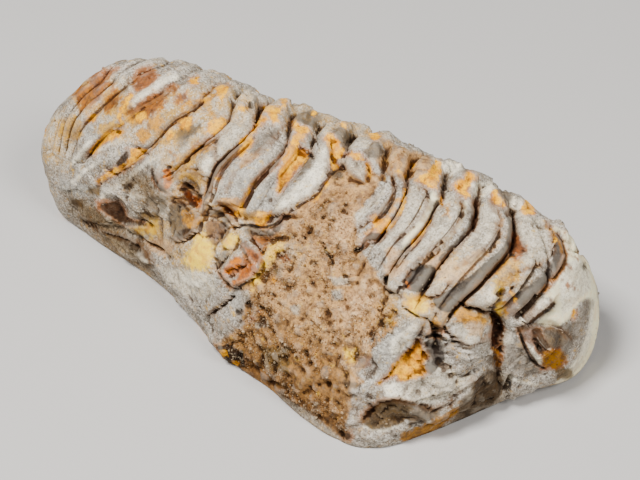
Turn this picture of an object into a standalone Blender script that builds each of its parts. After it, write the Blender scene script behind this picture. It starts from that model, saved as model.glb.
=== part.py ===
"""A trilobite fossil still in its stone, lying on a flat base, head towards +X.

The drawing is in millimetres round a spine that runs along X through the stone, and a place on the
stone is an x and an angle: 0 is straight up, 90 the near flank (-Y), and below zero is the far flank.
"""

import bmesh
import bpy
import numpy as np

MM = 0.001

# The spine, and the skin it carries
SPINE_Y = -1.0
SPINE_Z = 14.0
TAIL_END = -36.0
HEAD_END = 36.0
CAP_REACH = 24.0
BOX_MIDDLE = (-5.70, -4.40)
BASE_CUT = 0.4

# The bare stone: its crest and its two walls, as (x, size) along the spine
CREST = (
    (-62, 11), (-56, 20.5), (-48, 29.2), (-40, 33.0), (-30, 34.3), (-15, 33.6), (0, 33.8),
    (15, 33.6), (27, 32.2), (36, 29.2), (42, 25.4), (46, 18.6), (49, 12),
)
NEAR_WALL = (
    (-60, 7.5), (-50, 10), (-42, 12), (-30, 14.4), (-20, 17.8), (-12, 21.9), (-4, 25.2), (4, 27.0),
    (12, 30.0), (18, 31.6), (22, 31.5), (26, 28.8), (31, 22), (36, 14.6), (41, 8.5), (46, 4),
)
FAR_WALL = (
    (-60, 12), (-52, 17), (-42, 19), (-30, 20), (-15, 21), (0, 21.5), (15, 21.5), (27, 20.5),
    (36, 18.5), (44, 14), (48, 9),
)
HEAD_TUCK = ((-60, 1), (20, 1), (28, 1.0), (34, 2.2), (40, 5.0), (50, 5.0))
NEAR_BEND = 0.030
FAR_BEND = 0.055
EDGE_BLEND = 7.0
CAP_BLEND = 4.0
BASE_BLEND = 1.5
TUCK_FROM, TUCK_ABOVE, TUCK_BELOW = 8.0, 0.010, 0.022
# Rounded ends: where each starts, its length, and the middle, reach and roundness of its section
TAIL_START, TAIL_LENGTH = -36.0, 22.0
TAIL_MIDDLE, TAIL_REACH, TAIL_ROUND = (3.0, 19.0), (24.0, 24.0), 0.30
HEAD_START, HEAD_LENGTH = 24.0, 22.6
HEAD_MIDDLE, HEAD_REACH, HEAD_ROUND = (4.0, 16.0), (24.0, 26.0), 0.35
END_SCALE = 20.0

# Lines where one segment meets the next, from the tail: x at each turn from the top
RING_TURN = -13.0
TURNS = (-13, 5, 12, 20, 30, 40, 50, 60, 80)
SEGMENT_LINES = (
    (-48.0, -49.5, -50.2, -51.0, -51.6, -52.0, -52.2, -52.4, -52.6),
    (-44.0, -46.0, -47.2, -48.6, -49.6, -50.2, -50.6, -50.8, -51.0),
    (-40.0, -42.2, -43.6, -45.6, -47.2, -48.2, -48.8, -49.2, -49.6),
    (-35.5, -38.5, -39.9, -42.1, -44.4, -45.8, -46.6, -47.2, -48.0),
    (-30.5, -31.0, -32.1, -34.9, -37.6, -40.4, -42.2, -43.4, -45.0),
    (-25.0, -24.4, -25.1, -27.2, -28.9, -30.8, -33.1, -35.7, -40.0),
    (-20.5, -18.3, -17.6, -18.4, -20.8, -22.6, -24.6, -25.8, -28.0),
    (-16.0, -13.7, -13.4, -14.0, -15.1, -15.8, -16.0, -16.2, -16.6),
    (-9.9, -7.2, -6.5, -6.8, -7.8, -8.3, -8.7, -9.0, -9.4),
    (-4.3, -2.6, -2.1, -2.4, -2.8, -2.9, -3.0, -3.2, -3.5),
    (1.8, 3.4, 3.4, 3.4, 2.3, 0.0, -1.4, -1.8, -2.2),
    (8.3, 11.0, 11.6, 11.6, 10.7, 9.5, 9.0, 8.4, 8.0),
    (13.2, 15.4, 16.3, 16.7, 16.5, 15.8, 15.2, 14.6, 14.0),
    (19.2, 21.6, 21.8, 21.9, 21.5, 20.6, 19.8, 19.2, 18.6),
    (25.3, 27.9, 28.3, 28.1, 27.3, 26.6, 26.2, 25.9, 25.5),
    (31.5, 34.9, 35.0, 34.9, 34.3, 33.5, 32.4, 31.5, 30.0),
    (35.6, 41.0, 41.4, 41.2, 40.9, 40.3, 39.7, 39.0, 38.0),
)

# Heights across one segment, from its rear line (0) to its front line (1)
CRESCENT = (
    (0, -1.3), (0.04, -0.2), (0.12, 0.35), (0.35, 0.7), (0.56, 0.9), (0.60, 0.3), (0.70, 0.6),
    (0.82, 0.5), (0.93, 0.0), (1, -1.3),
)
SPLIT = (
    (0, -0.5), (0.22, -0.3), (0.34, 0.5), (0.42, -0.4), (0.53, 0.6), (0.62, -0.1), (0.80, 0.1),
    (0.94, -0.1), (1, -1.3),
)
ROUND = ((0, -1.1), (0.04, -0.2), (0.12, 0.4), (0.40, 0.7), (0.75, 0.6), (0.93, 0.0), (1, -1.1))
VALLEY = ((0, -1.3), (0.08, -0.5), (0.18, 0.5), (0.42, 0.5), (0.52, -0.7), (0.70, -1.0), (1, -0.9))
BLADE = ((0, -0.9), (0.08, -0.6), (0.20, 0.3), (0.45, 0.8), (0.80, 0.9), (0.95, 0.5), (1, -0.9))
LOW = ((0, -0.5), (0.10, -0.1), (0.35, 0.4), (0.65, 0.4), (0.90, 0.0), (1, -0.5))
RING = ((0, -1.1), (0.08, -0.4), (0.20, 0.9), (0.5, 1.3), (0.78, 1.1), (0.92, -0.3), (1, -1.1))
# Each segment from the tail: its profile, and the turn where its near rib ends
RIBS = (
    (LOW, 80), (LOW, 80), (LOW, 76), (LOW, 70), (LOW, 62), (ROUND, 48), (ROUND, 46), (ROUND, 53),
    (VALLEY, 49), (BLADE, 47), (BLADE, 15), (SPLIT, 42), (CRESCENT, 50), (CRESCENT, 57),
    (CRESCENT, 64), (CRESCENT, 50),
)
FIRST_FULL_SEGMENT = 4
FAR_RIB_END = 74
RING_CALM = ((-40, 0.25), (-24, 0.5), (-16, 1.0))
FURROW_TURN, FURROW_WIDTH, FURROW_DEPTH = 7.0, 3.0, 1.0
FAR_RIB_SHARE = 0.8
# Turns over which ribs rise beside the rings, fade at their ends, and rings fall away
RIB_RISE, RIB_FADE, RING_EDGE = (4.0, 9.0), (-4.0, 5.0), (3.0, 8.0)
# Lines stop leaning towards the underside from this turn, over this many degrees
LEAN_END, LEAN_FADE = 150.0, 70.0

# Crumbly sandstone that buries the middle of the near flank, as (x, angle) corners
SAND_OUTLINE = (
    (12.5, 10), (4.2, 14), (4.3, 28), (2.1, 38), (0.5, 52), (-3.3, 58), (-0.1, 67), (-3.3, 83),
    (-1.1, 96), (-6, 110), (-1.2, 120), (11.7, 118), (20.7, 114), (20, 101), (19.8, 93), (24.8, 70),
    (21.5, 60), (14.6, 50), (11.4, 33), (12.3, 21),
)
DEGREE_ROUND = 0.36
SAND_EDGE, SAND_SINK = 0.8, 0.3
FAR_FROM_SAND = -9.0

# Ridges (height above zero) and cracks (below), each with its places, half width and height
STRIPS = {
    "cheek bar": (((29.6, 63), (26.4, 69), (23.5, 77), (21.1, 85), (19.8, 95)), 2.4, 1.5),
    "cheek ledge": (
        ((36.0, 104), (33.5, 113), (31.0, 111), (29.0, 101), (26.5, 95), (23.0, 96), (20.5, 103)), 1.6, 1.5,
    ),
    "head bar": (((39.6, 54), (41.0, 40), (42.6, 21)), 1.1, 1.0),
    "under head bar": (((39.9, 60), (41.6, 46), (43.2, 24)), 0.7, -0.8),
    "neck crack": (((36.8, 56), (37.8, 71), (37.9, 90), (38.4, 110), (38.6, 133)), 0.9, -2.2),
    "cheek crack": (((29.3, 66), (30.6, 74), (31.6, 86), (33.6, 98)), 0.6, -1.2),
    "rib end crack": (((-2.0, 47), (-4.4, 52), (-7.2, 53), (-11.3, 53), (-13.7, 60)), 0.8, -1.6),
    "short crack": (((-3.2, 60), (0.8, 55), (3.0, 50)), 0.7, -1.2),
    "base step": (((-46.6, 139), (-40.2, 125), (-34.5, 113), (-26.3, 106), (-21.0, 100)), 0.9, -0.8),
    "base lip": (((-42.0, 134), (-34.0, 122), (-26.0, 116), (-18.0, 112), (-10.0, 106)), 2.2, 0.6),
    "tail ridge": (((-45.0, 56), (-41.0, 41), (-36.0, 24), (-34.2, 14), (-32.2, 6)), 0.8, 0.5),
    "ring notch": (((-15.4, -34), (-15.0, -13), (-14.2, 2)), 1.1, -1.3),
}
# Lumps (height above zero) and hollows (below), each with its place, reach and height
LUMPS = {
    "cheek hollow": ((28.6, 80), 3.6, -1.9),
    "cheek chip": ((26.0, 106), 3.4, -0.8),
    "cheek face": ((31.5, 82), 2.6, -0.5),
    "near eye": ((42.6, 84), 2.9, 1.5),
    "far eye": ((40.0, -108), 2.9, 1.3),
    "brow": ((41.0, -20), 7.0, 0.7),
    "tall ring": ((23.0, -10), 4.2, 0.9),
    "neck stone": ((34.2, 43), 3.0, 1.6),
    "neck stone low": ((33.6, 66), 3.2, 1.3),
    "neck stone foot": ((34.8, 80), 2.6, 0.9),
    "eye hollow": ((38.6, 78), 3.0, -0.6),
    "leaf chip": ((-16.4, 35), 2.8, 0.9),
    "dark pit": ((-35.8, 96), 3.2, -1.8),
    "rust hollow": ((-19.5, 53), 3.4, -1.8),
    "tail lump": ((-24.5, 55), 3.0, 0.8),
    "rust lump": ((-4.4, 73), 3.6, 1.1),
    "pale lump": ((-12.0, 84), 5.0, 0.7),
    "foot lump": ((-7.0, 118), 4.0, 1.2),
    "tail hollow": ((-27.0, 84), 5.0, -0.7),
    "sand hump": ((8.0, 84), 7.0, 0.8),
    "sand foot": ((14.0, 100), 6.0, 0.7),
    "rib tip": ((21.4, 57), 1.7, 1.0),
    "rib tip ahead": ((24.5, 56), 1.6, 0.7),
}
EYE_GROOVES = (("round the eye", 3.7, 0.7, 0.7), ("cheek furrow", 6.6, 1.3, 1.0))
SHELL_FROM, SHELL_TO = 41.0, 43.0
STRIP_TAPER, STRIP_END = 6.0, 0.5
LUMP_FLAT, LUMP_EDGE = 0.35, 1.15
EYE_FROM, EYE_TO = 40.5, 42.5
# Surface texture: the size across and the height of each kind
CHIP_SIZE, CHIP_HEIGHT = 5.0, 0.5
RING_CHIP_SIZE, RING_CHIP_HEIGHT = 3.0, 0.5
SWELL_SIZE, SWELL_HEIGHT = 6.0, 0.45
CRUMB_SIZE, CRUMB_HEIGHT = 2.2, 0.5
CHIP_TIP = 1.2
CHIPS_FROM, CHIPS_TO = 40.0, 60.0
FOOT_LOW, FOOT_HIGH = 0.3, 3.5

# The mesh: rows from tail to head, and points round each row
TAIL_ROWS, HEAD_ROWS, RING_POINTS = 16, 24, 50
ROW_SHARES = (0, 0.06, 0.28, 0.57, 0.66, 0.93)
HEAD_ROW_STOPS = ((0, 0), (0.85, 0.7), (1, 1))
ROUND_STOPS = ((0, -180), (0.16, -100), (0.28, -40), (0.86, 130), (1, 180))
# Rows shift round the stone a little, so that no strip of them lies flat on the base
WOBBLE, WOBBLE_LONG, WOBBLE_SHORT = 1.2, 3.7, 1.9
STONE_COLOUR = (0.36, 0.35, 0.32, 1.0)
STONE_ROUGHNESS = 0.85
SHARP_ANGLE = 50.0


def clear_scene():
    for thing in list(bpy.data.objects):
        bpy.data.objects.remove(thing, do_unlink=True)


def curve(x, points):
    """A smooth line through (x, value) points."""
    xs, ys = np.array(points, float).T
    slope = np.gradient(ys, xs)
    x = np.clip(x, xs[0], xs[-1])
    i = np.clip(np.searchsorted(xs, x) - 1, 0, len(xs) - 2)
    run = xs[i + 1] - xs[i]
    t = (x - xs[i]) / run
    start = (2 * t**3 - 3 * t**2 + 1) * ys[i] + (t**3 - 2 * t**2 + t) * run * slope[i]
    return start + (3 * t**2 - 2 * t**3) * ys[i + 1] + (t**3 - t**2) * run * slope[i + 1]


def smooth(x, low, high):
    t = np.clip((x - low) / (high - low), 0, 1)
    return t * t * (3 - 2 * t)


def join(a, b, soft):
    """The larger of two depths, rounded where they cross, so a wall meets a top in a soft edge."""
    share = np.clip(0.5 + 0.5 * (a - b) / soft, 0, 1)
    return a * share + b * (1 - share) + soft * share * (1 - share)


def past_end(beyond, length, y, z, middle, reach, roundness):
    """How far outside a rounded end a point is that lies beyond the end's start."""
    section = ((y - middle[0]) / reach[0]) ** 2 + ((z - middle[1]) / reach[1]) ** 2
    size = np.sqrt((beyond / length) ** 2 + roundness * section)
    return np.where(beyond > 0, END_SCALE * (size - 1), -END_SCALE)


def depth(p):
    """How far outside the bare stone a point is, below zero inside it."""
    x, y, z = p[..., 0], p[..., 1], p[..., 2]
    bend = np.where(y < 0, NEAR_BEND, FAR_BEND)
    top = (z - curve(x, CREST) + bend * y**2) / np.sqrt(1 + (2 * bend * y) ** 2)
    tuck = np.where(z > TUCK_FROM, TUCK_ABOVE, TUCK_BELOW) * (z - TUCK_FROM) ** 2
    near_tuck = np.where(z > TUCK_FROM, tuck, tuck * curve(x, HEAD_TUCK))
    body = join(top, -y - curve(x, NEAR_WALL) + near_tuck, EDGE_BLEND)
    body = join(body, y - curve(x, FAR_WALL) + tuck, EDGE_BLEND)
    tail = past_end(TAIL_START - x, TAIL_LENGTH, y, z, TAIL_MIDDLE, TAIL_REACH, TAIL_ROUND)
    head = past_end(x - HEAD_START, HEAD_LENGTH, y, z, HEAD_MIDDLE, HEAD_REACH, HEAD_ROUND)
    body = join(join(body, tail, CAP_BLEND), head, CAP_BLEND)
    return join(body, -z, BASE_BLEND)


def reach_skin(origin, way, reach=75.0, steps=50, halvings=12):
    """Where a ray from inside the stone leaves it, looked for from outside."""
    low = np.zeros(origin.shape[:-1])
    high = np.full(origin.shape[:-1], reach)
    found = np.zeros(origin.shape[:-1], bool)
    for k in range(steps):
        r = reach * (1 - k / steps)
        inside = (depth(origin + way * r) < 0) & ~found
        low = np.where(inside, r, low)
        high = np.where(inside, r + reach / steps, high)
        found |= inside
    for _ in range(halvings):
        middle = (low + high) / 2
        inside = depth(origin + way * middle[..., None]) < 0
        low = np.where(inside, middle, low)
        high = np.where(inside, high, middle)
    return origin + way * ((low + high) / 2)[..., None]


def outward(p, step=0.6):
    """The unit direction away from the bare stone."""
    sides = []
    for move in np.eye(3) * step:
        sides.append(depth(p + move) - depth(p - move))
    way = np.stack(sides, -1)
    return way / np.linalg.norm(way, axis=-1, keepdims=True)


def turned(angle):
    """The far flank repeats the near one about the rings' middle."""
    return RING_TURN + np.abs(angle - RING_TURN)


def lines_at(turn):
    """x of every segment line at this turn."""
    turn = np.minimum(turn, TURNS[-1])
    return np.stack([curve(turn, tuple(zip(TURNS, line))) for line in SEGMENT_LINES], -1)


def lean(base, angle):
    """x of a line that leans with the ribs and crosses the rings at base."""
    rings = np.array([line[0] for line in SEGMENT_LINES], float)
    shift = lines_at(turned(angle)) - rings
    row = np.interp(base, rings, np.arange(len(rings)))
    i = np.clip(row.astype(int), 0, len(rings) - 2)[..., None]
    low = np.take_along_axis(shift, i, -1)[..., 0]
    high = np.take_along_axis(shift, i + 1, -1)[..., 0]
    fade = np.clip((LEAN_END - turned(angle)) / LEAN_FADE, 0, 1)
    return base + (low + (row - i[..., 0]) * (high - low)) * fade


def on_spine(x, angle, tilt):
    """A ray from the spine at x, turned round it by angle and tipped towards the head by tilt."""
    round_x = np.radians(angle)
    origin = np.stack([x, np.full_like(x, SPINE_Y), np.full_like(x, SPINE_Z)], -1)
    across = np.cos(tilt)
    way = np.stack([np.sin(tilt), -across * np.sin(round_x), across * np.cos(round_x)], -1)
    return origin, way


def bare_point(along, angle):
    """The place on the bare stone at a length along it, past the spine's ends over the caps."""
    base = np.clip(along, TAIL_END, HEAD_END)
    tilt = np.clip((along - base) / CAP_REACH, -np.pi / 2, np.pi / 2)
    return reach_skin(*on_spine(lean(base, angle), angle, tilt))


def spots(places):
    """Points on the bare stone from (x, angle) places."""
    x, angle = np.array(places, float).T
    return reach_skin(*on_spine(x, angle, np.zeros_like(x)))


def to_line(p, points):
    """Distance from a bent line, and how far along it the nearest point is, from 0 to 1."""
    best = np.full(p.shape[:-1], np.inf)
    share = np.zeros(p.shape[:-1])
    pieces = len(points) - 1
    for i in range(pieces):
        start, run = points[i], points[i + 1] - points[i]
        f = np.clip(((p - start) @ run) / (run @ run), 0, 1)
        gap = np.linalg.norm(p - start - f[..., None] * run, axis=-1)
        share = np.where(gap < best, (i + f) / pieces, share)
        best = np.minimum(best, gap)
    return best, share


def within(x, angle, outline):
    """Distance in mm inside an outline on the unrolled flank, below zero outside it."""
    scale = np.array([1.0, DEGREE_ROUND])
    corners = np.array(outline, float) * scale
    p = np.stack([x, angle], -1) * scale
    best = np.full(x.shape, np.inf)
    crossed = np.zeros(x.shape, bool)
    for a, b in zip(corners, np.roll(corners, -1, 0)):
        run = b - a
        f = np.clip(((p - a) @ run) / (run @ run), 0, 1)
        best = np.minimum(best, np.linalg.norm(p - a - f[..., None] * run, axis=-1))
        cut = a[0] + (p[..., 1] - a[1]) / run[1] * run[0]
        crossed ^= ((a[1] > p[..., 1]) != (b[1] > p[..., 1])) & (p[..., 0] < cut)
    return np.where(crossed, best, -best)


def hashed(cell, seed):
    """A steady number from 0 to 1 for each whole-number cell."""
    n = cell[..., 0] * 374761393 + cell[..., 1] * 668265263 + cell[..., 2] * 2147483647 + seed * 144665
    n = n & 0xFFFFFFFF
    n = ((n ^ (n >> 13)) * 1274126177) & 0xFFFFFFFF
    n = ((n ^ (n >> 16)) * 2246822519) & 0xFFFFFFFF
    return (n ^ (n >> 15)) / 4294967296.0


def noise(p, size, seed):
    """A soft random swell from -1 to 1, in lumps about size across."""
    q = p / size
    cell = np.floor(q).astype(np.int64)
    f = q - cell
    w = f * f * (3 - 2 * f)
    total = 0.0
    for corner in range(8):
        bit = np.array([corner & 1, corner >> 1 & 1, corner >> 2 & 1])
        total = total + np.prod(np.where(bit, w, 1 - w), axis=-1) * hashed(cell + bit, seed)
    return 2 * total - 1


def rough(p, size, seed, octaves):
    return sum(0.5**k * noise(p, size / 2**k, seed + k) for k in range(octaves))


def facets(p, size, seed):
    """Flat chips about size across, each tipped its own way."""
    q = p / size
    cell = np.floor(q).astype(np.int64)
    best = np.full(p.shape[:-1], np.inf)
    height = np.zeros(p.shape[:-1])
    for corner in range(27):
        here = cell + np.array([corner % 3 - 1, corner // 3 % 3 - 1, corner // 9 - 1])
        point = here + np.stack([hashed(here, seed + a) for a in range(3)], -1)
        tip = np.stack([hashed(here, seed + 3 + a) for a in range(3)], -1) * 2 - 1
        gap = ((q - point) ** 2).sum(-1)
        tall = ((q - point) * tip).sum(-1) * CHIP_TIP + hashed(here, seed + 6) - 0.5
        height = np.where(gap < best, tall, height)
        best = np.minimum(best, gap)
    return height


def animal(p, angle):
    """Heights of the rings along the back and the ribs down both flanks, and of the sand over them."""
    x = p[..., 0]
    turn = turned(angle)
    near = angle > RING_TURN
    lines = lines_at(turn)
    k = np.clip((lines <= x[..., None]).sum(-1) - 1, 0, len(RIBS) - 1)
    start = np.take_along_axis(lines, k[..., None], -1)[..., 0]
    stop = np.take_along_axis(lines, k[..., None] + 1, -1)[..., 0]
    t = np.clip((x - start) / (stop - start), 0, 1)
    rib = np.zeros_like(x)
    for i, (profile, near_end) in enumerate(RIBS):
        far_profile = ROUND if i >= FIRST_FULL_SEGMENT else LOW
        far_shape = FAR_RIB_SHARE * np.interp(t, *np.array(far_profile).T)
        shape = np.where(near, np.interp(t, *np.array(profile).T), far_shape)
        end = np.where(near, near_end, FAR_RIB_END)
        rib = np.where(k == i, shape * smooth(turn, *RIB_RISE) * smooth(end - turn, *RIB_FADE), rib)
    calm = np.interp(x, *np.array(RING_CALM).T)
    on_rings = 1 - smooth(turn, *RING_EDGE)
    ring = (np.interp(t, *np.array(RING).T) + RING_CHIP_HEIGHT * facets(p, RING_CHIP_SIZE, 17)) * calm * on_rings
    furrow = -FURROW_DEPTH * np.exp(-(((turn - FURROW_TURN) / FURROW_WIDTH) ** 2)) * calm
    body = smooth(x - lines[..., 0], -1, 1) * smooth(lines[..., -1] - x, -0.3, 0.1)
    sand = np.where(near, within(x, angle, SAND_OUTLINE), FAR_FROM_SAND)
    buried = smooth(sand, -SAND_EDGE, SAND_EDGE)
    return (rib + ring + furrow) * body * (1 - buried) - SAND_SINK * buried, buried


def relief(p):
    """Height of the fossil's detail over the bare stone."""
    x, y, z = p[..., 0], p[..., 1], p[..., 2]
    angle = np.degrees(np.arctan2(SPINE_Y - y, z - SPINE_Z))
    height, buried = animal(p, angle)
    for places, width, tall in STRIPS.values():
        gap, share = to_line(p, spots(places))
        taper = np.minimum(1, STRIP_TAPER * np.minimum(share, 1 - share) + STRIP_END)
        height = height + tall * np.exp(-((gap / width) ** 2)) * taper
    for place, reach, tall in LUMPS.values():
        gap = np.linalg.norm(p - spots((place,))[0], axis=-1)
        height = height + tall * (1 - smooth(gap, LUMP_FLAT * reach, LUMP_EDGE * reach))
    eye = np.linalg.norm(p - spots((LUMPS["near eye"][0],))[0], axis=-1)
    for _, radius, width, deep in EYE_GROOVES:
        height = height - deep * np.exp(-(((eye - radius) / width) ** 2)) * smooth(x, EYE_FROM, EYE_TO)
    shell = smooth(x, SHELL_FROM, SHELL_TO)
    below_ribs = smooth(turned(angle), CHIPS_FROM, CHIPS_TO)
    chips = CHIP_HEIGHT * facets(p, CHIP_SIZE, 11) * (1 - shell) * (1 - 0.5 * buried) * below_ribs
    swell = SWELL_HEIGHT * rough(p, SWELL_SIZE, 3, 3) * (1 - 0.7 * shell)
    crumble = CRUMB_HEIGHT * rough(p, CRUMB_SIZE, 8, 2) * buried
    return (height + chips + swell + crumble) * smooth(z, FOOT_LOW, FOOT_HIGH)


def row_places(tail_rows, shares, head_rows):
    """Places along the stone, pole to pole, with a row on every segment line and at shares between."""
    cap = CAP_REACH * np.pi / 2
    rings = [line[0] for line in SEGMENT_LINES if line[0] > TAIL_END]
    places = list(np.linspace(TAIL_END - cap, TAIL_END, tail_rows, endpoint=False))
    for low, high in zip(rings[:-1], rings[1:]):
        places += [low + share * (high - low) for share in shares]
    ends = np.interp(np.linspace(0, 1, head_rows + 1), *np.array(HEAD_ROW_STOPS).T)
    return np.array([*places, *(rings[-1] + ends * (HEAD_END + cap - rings[-1]))])


def share_of(value, stops):
    """Spreads a share from 0 to 1 over stretches, each with its own part of the mesh."""
    shares, places = np.array(stops, float).T
    return np.interp(value, shares, places)


def make_stone(collection):
    """A ball whose rings are carried onto the stone, from the tail to the head."""
    mesh = bpy.data.meshes.new("trilobite_fossil")
    rows = row_places(TAIL_ROWS, ROW_SHARES, HEAD_ROWS)
    ball = bmesh.new()
    bmesh.ops.create_uvsphere(ball, u_segments=RING_POINTS, v_segments=len(rows) - 1, radius=1.0)
    points = np.array([vertex.co[:] for vertex in ball.verts])
    up = 0.5 + np.arcsin(np.clip(points[:, 2], -1, 1)) / np.pi
    round_pole = (np.arctan2(points[:, 1], points[:, 0]) / (2 * np.pi)) % 1.0
    along = np.interp(up * (len(rows) - 1), np.arange(len(rows)), rows)
    sway = np.sin(along / WOBBLE_LONG) + 0.6 * np.sin(along / WOBBLE_SHORT + 1.0)
    angle = share_of(round_pole, ROUND_STOPS) + WOBBLE * sway
    bare = bare_point(along, angle)
    skin = bare + outward(bare) * relief(bare)[:, None]
    skin[:, 2] = np.maximum(skin[:, 2] - BASE_CUT, 0)
    skin[:, :2] -= BOX_MIDDLE
    for vertex, place in zip(ball.verts, skin * MM):
        vertex.co = place
    ball.to_mesh(mesh)
    ball.free()
    mesh.shade_smooth()
    mesh.set_sharp_from_angle(angle=np.radians(SHARP_ANGLE))
    stone = bpy.data.objects.new("trilobite_fossil", mesh)
    collection.objects.link(stone)
    return stone


def stone_material():
    material = bpy.data.materials.new("fossil limestone")
    material.use_nodes = True
    shader = material.node_tree.nodes["Principled BSDF"]
    shader.inputs["Base Color"].default_value = STONE_COLOUR
    shader.inputs["Roughness"].default_value = STONE_ROUGHNESS
    shader.inputs["Metallic"].default_value = 0.0
    return material


clear_scene()
fossil = bpy.data.collections.new("Trilobite fossil")
bpy.context.scene.collection.children.link(fossil)
stone = make_stone(fossil)
stone.data.materials.append(stone_material())
corners = np.array([vertex.co[:] for vertex in stone.data.vertices]) / MM
print("box in mm", corners.min(0).round(2), corners.max(0).round(2))
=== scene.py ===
# %% [markdown]
# # A trilobite fossil in its stone
# The animal curled a little as it died, and hard grey limestone kept the rings of its back and the
# ribs of one flank. Rust and ochre stain the gaps, and crumbly sandstone still hides the middle.
# Everything is one stone, so the look lives in one skin: its form comes from numbers worked out with numpy,
# its colours from stains, painted light and painted shade drawn on it, and loose grains of sand lie on top.

# %% Load the solid model
import math

import bmesh
import bpy
import numpy as np
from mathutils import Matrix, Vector


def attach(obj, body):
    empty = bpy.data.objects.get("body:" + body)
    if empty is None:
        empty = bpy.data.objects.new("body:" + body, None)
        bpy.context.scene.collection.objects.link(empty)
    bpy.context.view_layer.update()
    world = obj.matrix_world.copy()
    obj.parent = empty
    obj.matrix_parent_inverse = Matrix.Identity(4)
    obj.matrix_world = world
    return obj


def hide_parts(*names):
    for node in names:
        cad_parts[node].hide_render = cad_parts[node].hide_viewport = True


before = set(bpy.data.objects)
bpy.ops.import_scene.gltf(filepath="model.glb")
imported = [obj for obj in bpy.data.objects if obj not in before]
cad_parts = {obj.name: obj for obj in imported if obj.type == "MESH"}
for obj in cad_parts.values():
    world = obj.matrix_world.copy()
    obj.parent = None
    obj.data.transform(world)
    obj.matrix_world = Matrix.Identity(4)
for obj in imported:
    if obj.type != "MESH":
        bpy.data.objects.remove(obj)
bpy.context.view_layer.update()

MM = 0.001

# %% [markdown]
# ## The camera
# Many marks on this stone are easiest to place where the picture of it shows them. So the camera
# comes first: the same numbers that aim it also turn any point of the stone into a spot in the
# 640 by 480 picture.

# %% Camera
PICTURE_WIDE, PICTURE_HIGH = 640, 480
CAMERA_TURN, CAMERA_LIFT = math.radians(32), math.radians(40)
CAMERA_AWAY = 0.330
AIM = np.array([0.00570, 0.00040, 0.0150])
PIXELS_AT_ONE_METRE = 1980.0
SENSOR_WIDE = 36.0

to_camera = np.array([
    math.sin(CAMERA_TURN) * math.cos(CAMERA_LIFT),
    -math.cos(CAMERA_TURN) * math.cos(CAMERA_LIFT),
    math.sin(CAMERA_LIFT),
])
camera_right = np.array([math.cos(CAMERA_TURN), math.sin(CAMERA_TURN), 0.0])
camera_up = np.cross(to_camera, camera_right)
camera_place = AIM + CAMERA_AWAY * to_camera

camera_data = bpy.data.cameras.new("camera")
camera_data.sensor_width = SENSOR_WIDE
camera_data.lens = PIXELS_AT_ONE_METRE / PICTURE_WIDE * SENSOR_WIDE
camera = bpy.data.objects.new("camera", camera_data)
camera.location = camera_place
camera.rotation_mode = "QUATERNION"
camera.rotation_quaternion = Vector(-to_camera).to_track_quat("-Z", "Y")
bpy.context.scene.collection.objects.link(camera)
bpy.context.scene.camera = camera


def picture_spot(points):
    """Where points of the stone, in metres, land in the picture."""
    from_camera = points - camera_place
    away = -(from_camera @ to_camera)
    across = PICTURE_WIDE / 2 + PIXELS_AT_ONE_METRE * (from_camera @ camera_right) / away
    down = PICTURE_HIGH / 2 - PIXELS_AT_ONE_METRE * (from_camera @ camera_up) / away
    return np.stack([across, down], -1)


print("the lens is", round(camera_data.lens, 1), "mm")

# %% [markdown]
# ## Floor and light
# A pale floor keeps the background quiet. One broad lamp from above shapes the ribs, a weaker one
# fills the face, and a pale room softens both.

# %% Floor and light
FLOOR_COLOUR = (0.50, 0.49, 0.48, 1.0)
FLOOR_ROUGHNESS = 0.9
FLOOR_HALF = 1.6
STONE_MIDDLE = Vector((0, 0, 0.015))
LAMP_COLOUR = (1.0, 0.98, 0.95)
# name: (turn round the stone, lift above the floor, distance, side, power)
LAMPS = {"broad lamp": (-14, 62, 0.7, 0.20, 10.0), "fill lamp": (74, 46, 0.8, 0.3, 4.8)}
ROOM_COLOUR, ROOM_STRENGTH = (0.9, 0.95, 1.0, 1.0), 0.09


def soft_light(name, turn, lift, distance, side, power):
    """A square lamp that looks at the stone from a turn round it and a lift above the floor."""
    data = bpy.data.lights.new(name, "AREA")
    data.size = side
    data.energy = power
    data.color = LAMP_COLOUR
    lamp = bpy.data.objects.new(name, data)
    a, e = math.radians(turn), math.radians(lift)
    way = Vector((math.sin(a) * math.cos(e), -math.cos(a) * math.cos(e), math.sin(e)))
    lamp.location = STONE_MIDDLE + way * distance
    lamp.rotation_mode = "QUATERNION"
    lamp.rotation_quaternion = (-way).to_track_quat("-Z", "Y")
    bpy.context.scene.collection.objects.link(lamp)


for name, measures in LAMPS.items():
    soft_light(name, *measures)
world = bpy.data.worlds.new("soft grey room")
world.use_nodes = True
room = world.node_tree.nodes["Background"].inputs
room["Color"].default_value = ROOM_COLOUR
room["Strength"].default_value = ROOM_STRENGTH
bpy.context.scene.world = world
print("lamps", ", ".join(LAMPS))

# %% [markdown]
# ## The bare stone
# Under all the detail is a plain boulder: a crest line along the top, two walls, a rounded tail,
# a rounded head and a flat base. Each is a simple rule, and a soft maximum joins them. A sculpted
# mesh could do the same, but rules keep the form adjustable by a few numbers. The drawing is in
# millimetres round a spine along X, and a place is an x and an angle: 0 straight up, 90 the near
# flank, below zero the far flank.

# %% Measures of the form
# The spine, and the skin it carries
SPINE_Y = -1.0
SPINE_Z = 14.0
TAIL_END = -36.0
HEAD_END = 36.0
CAP_REACH = 24.0
BOX_MIDDLE = (-5.70, -4.40)
BASE_CUT = 0.4

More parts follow.
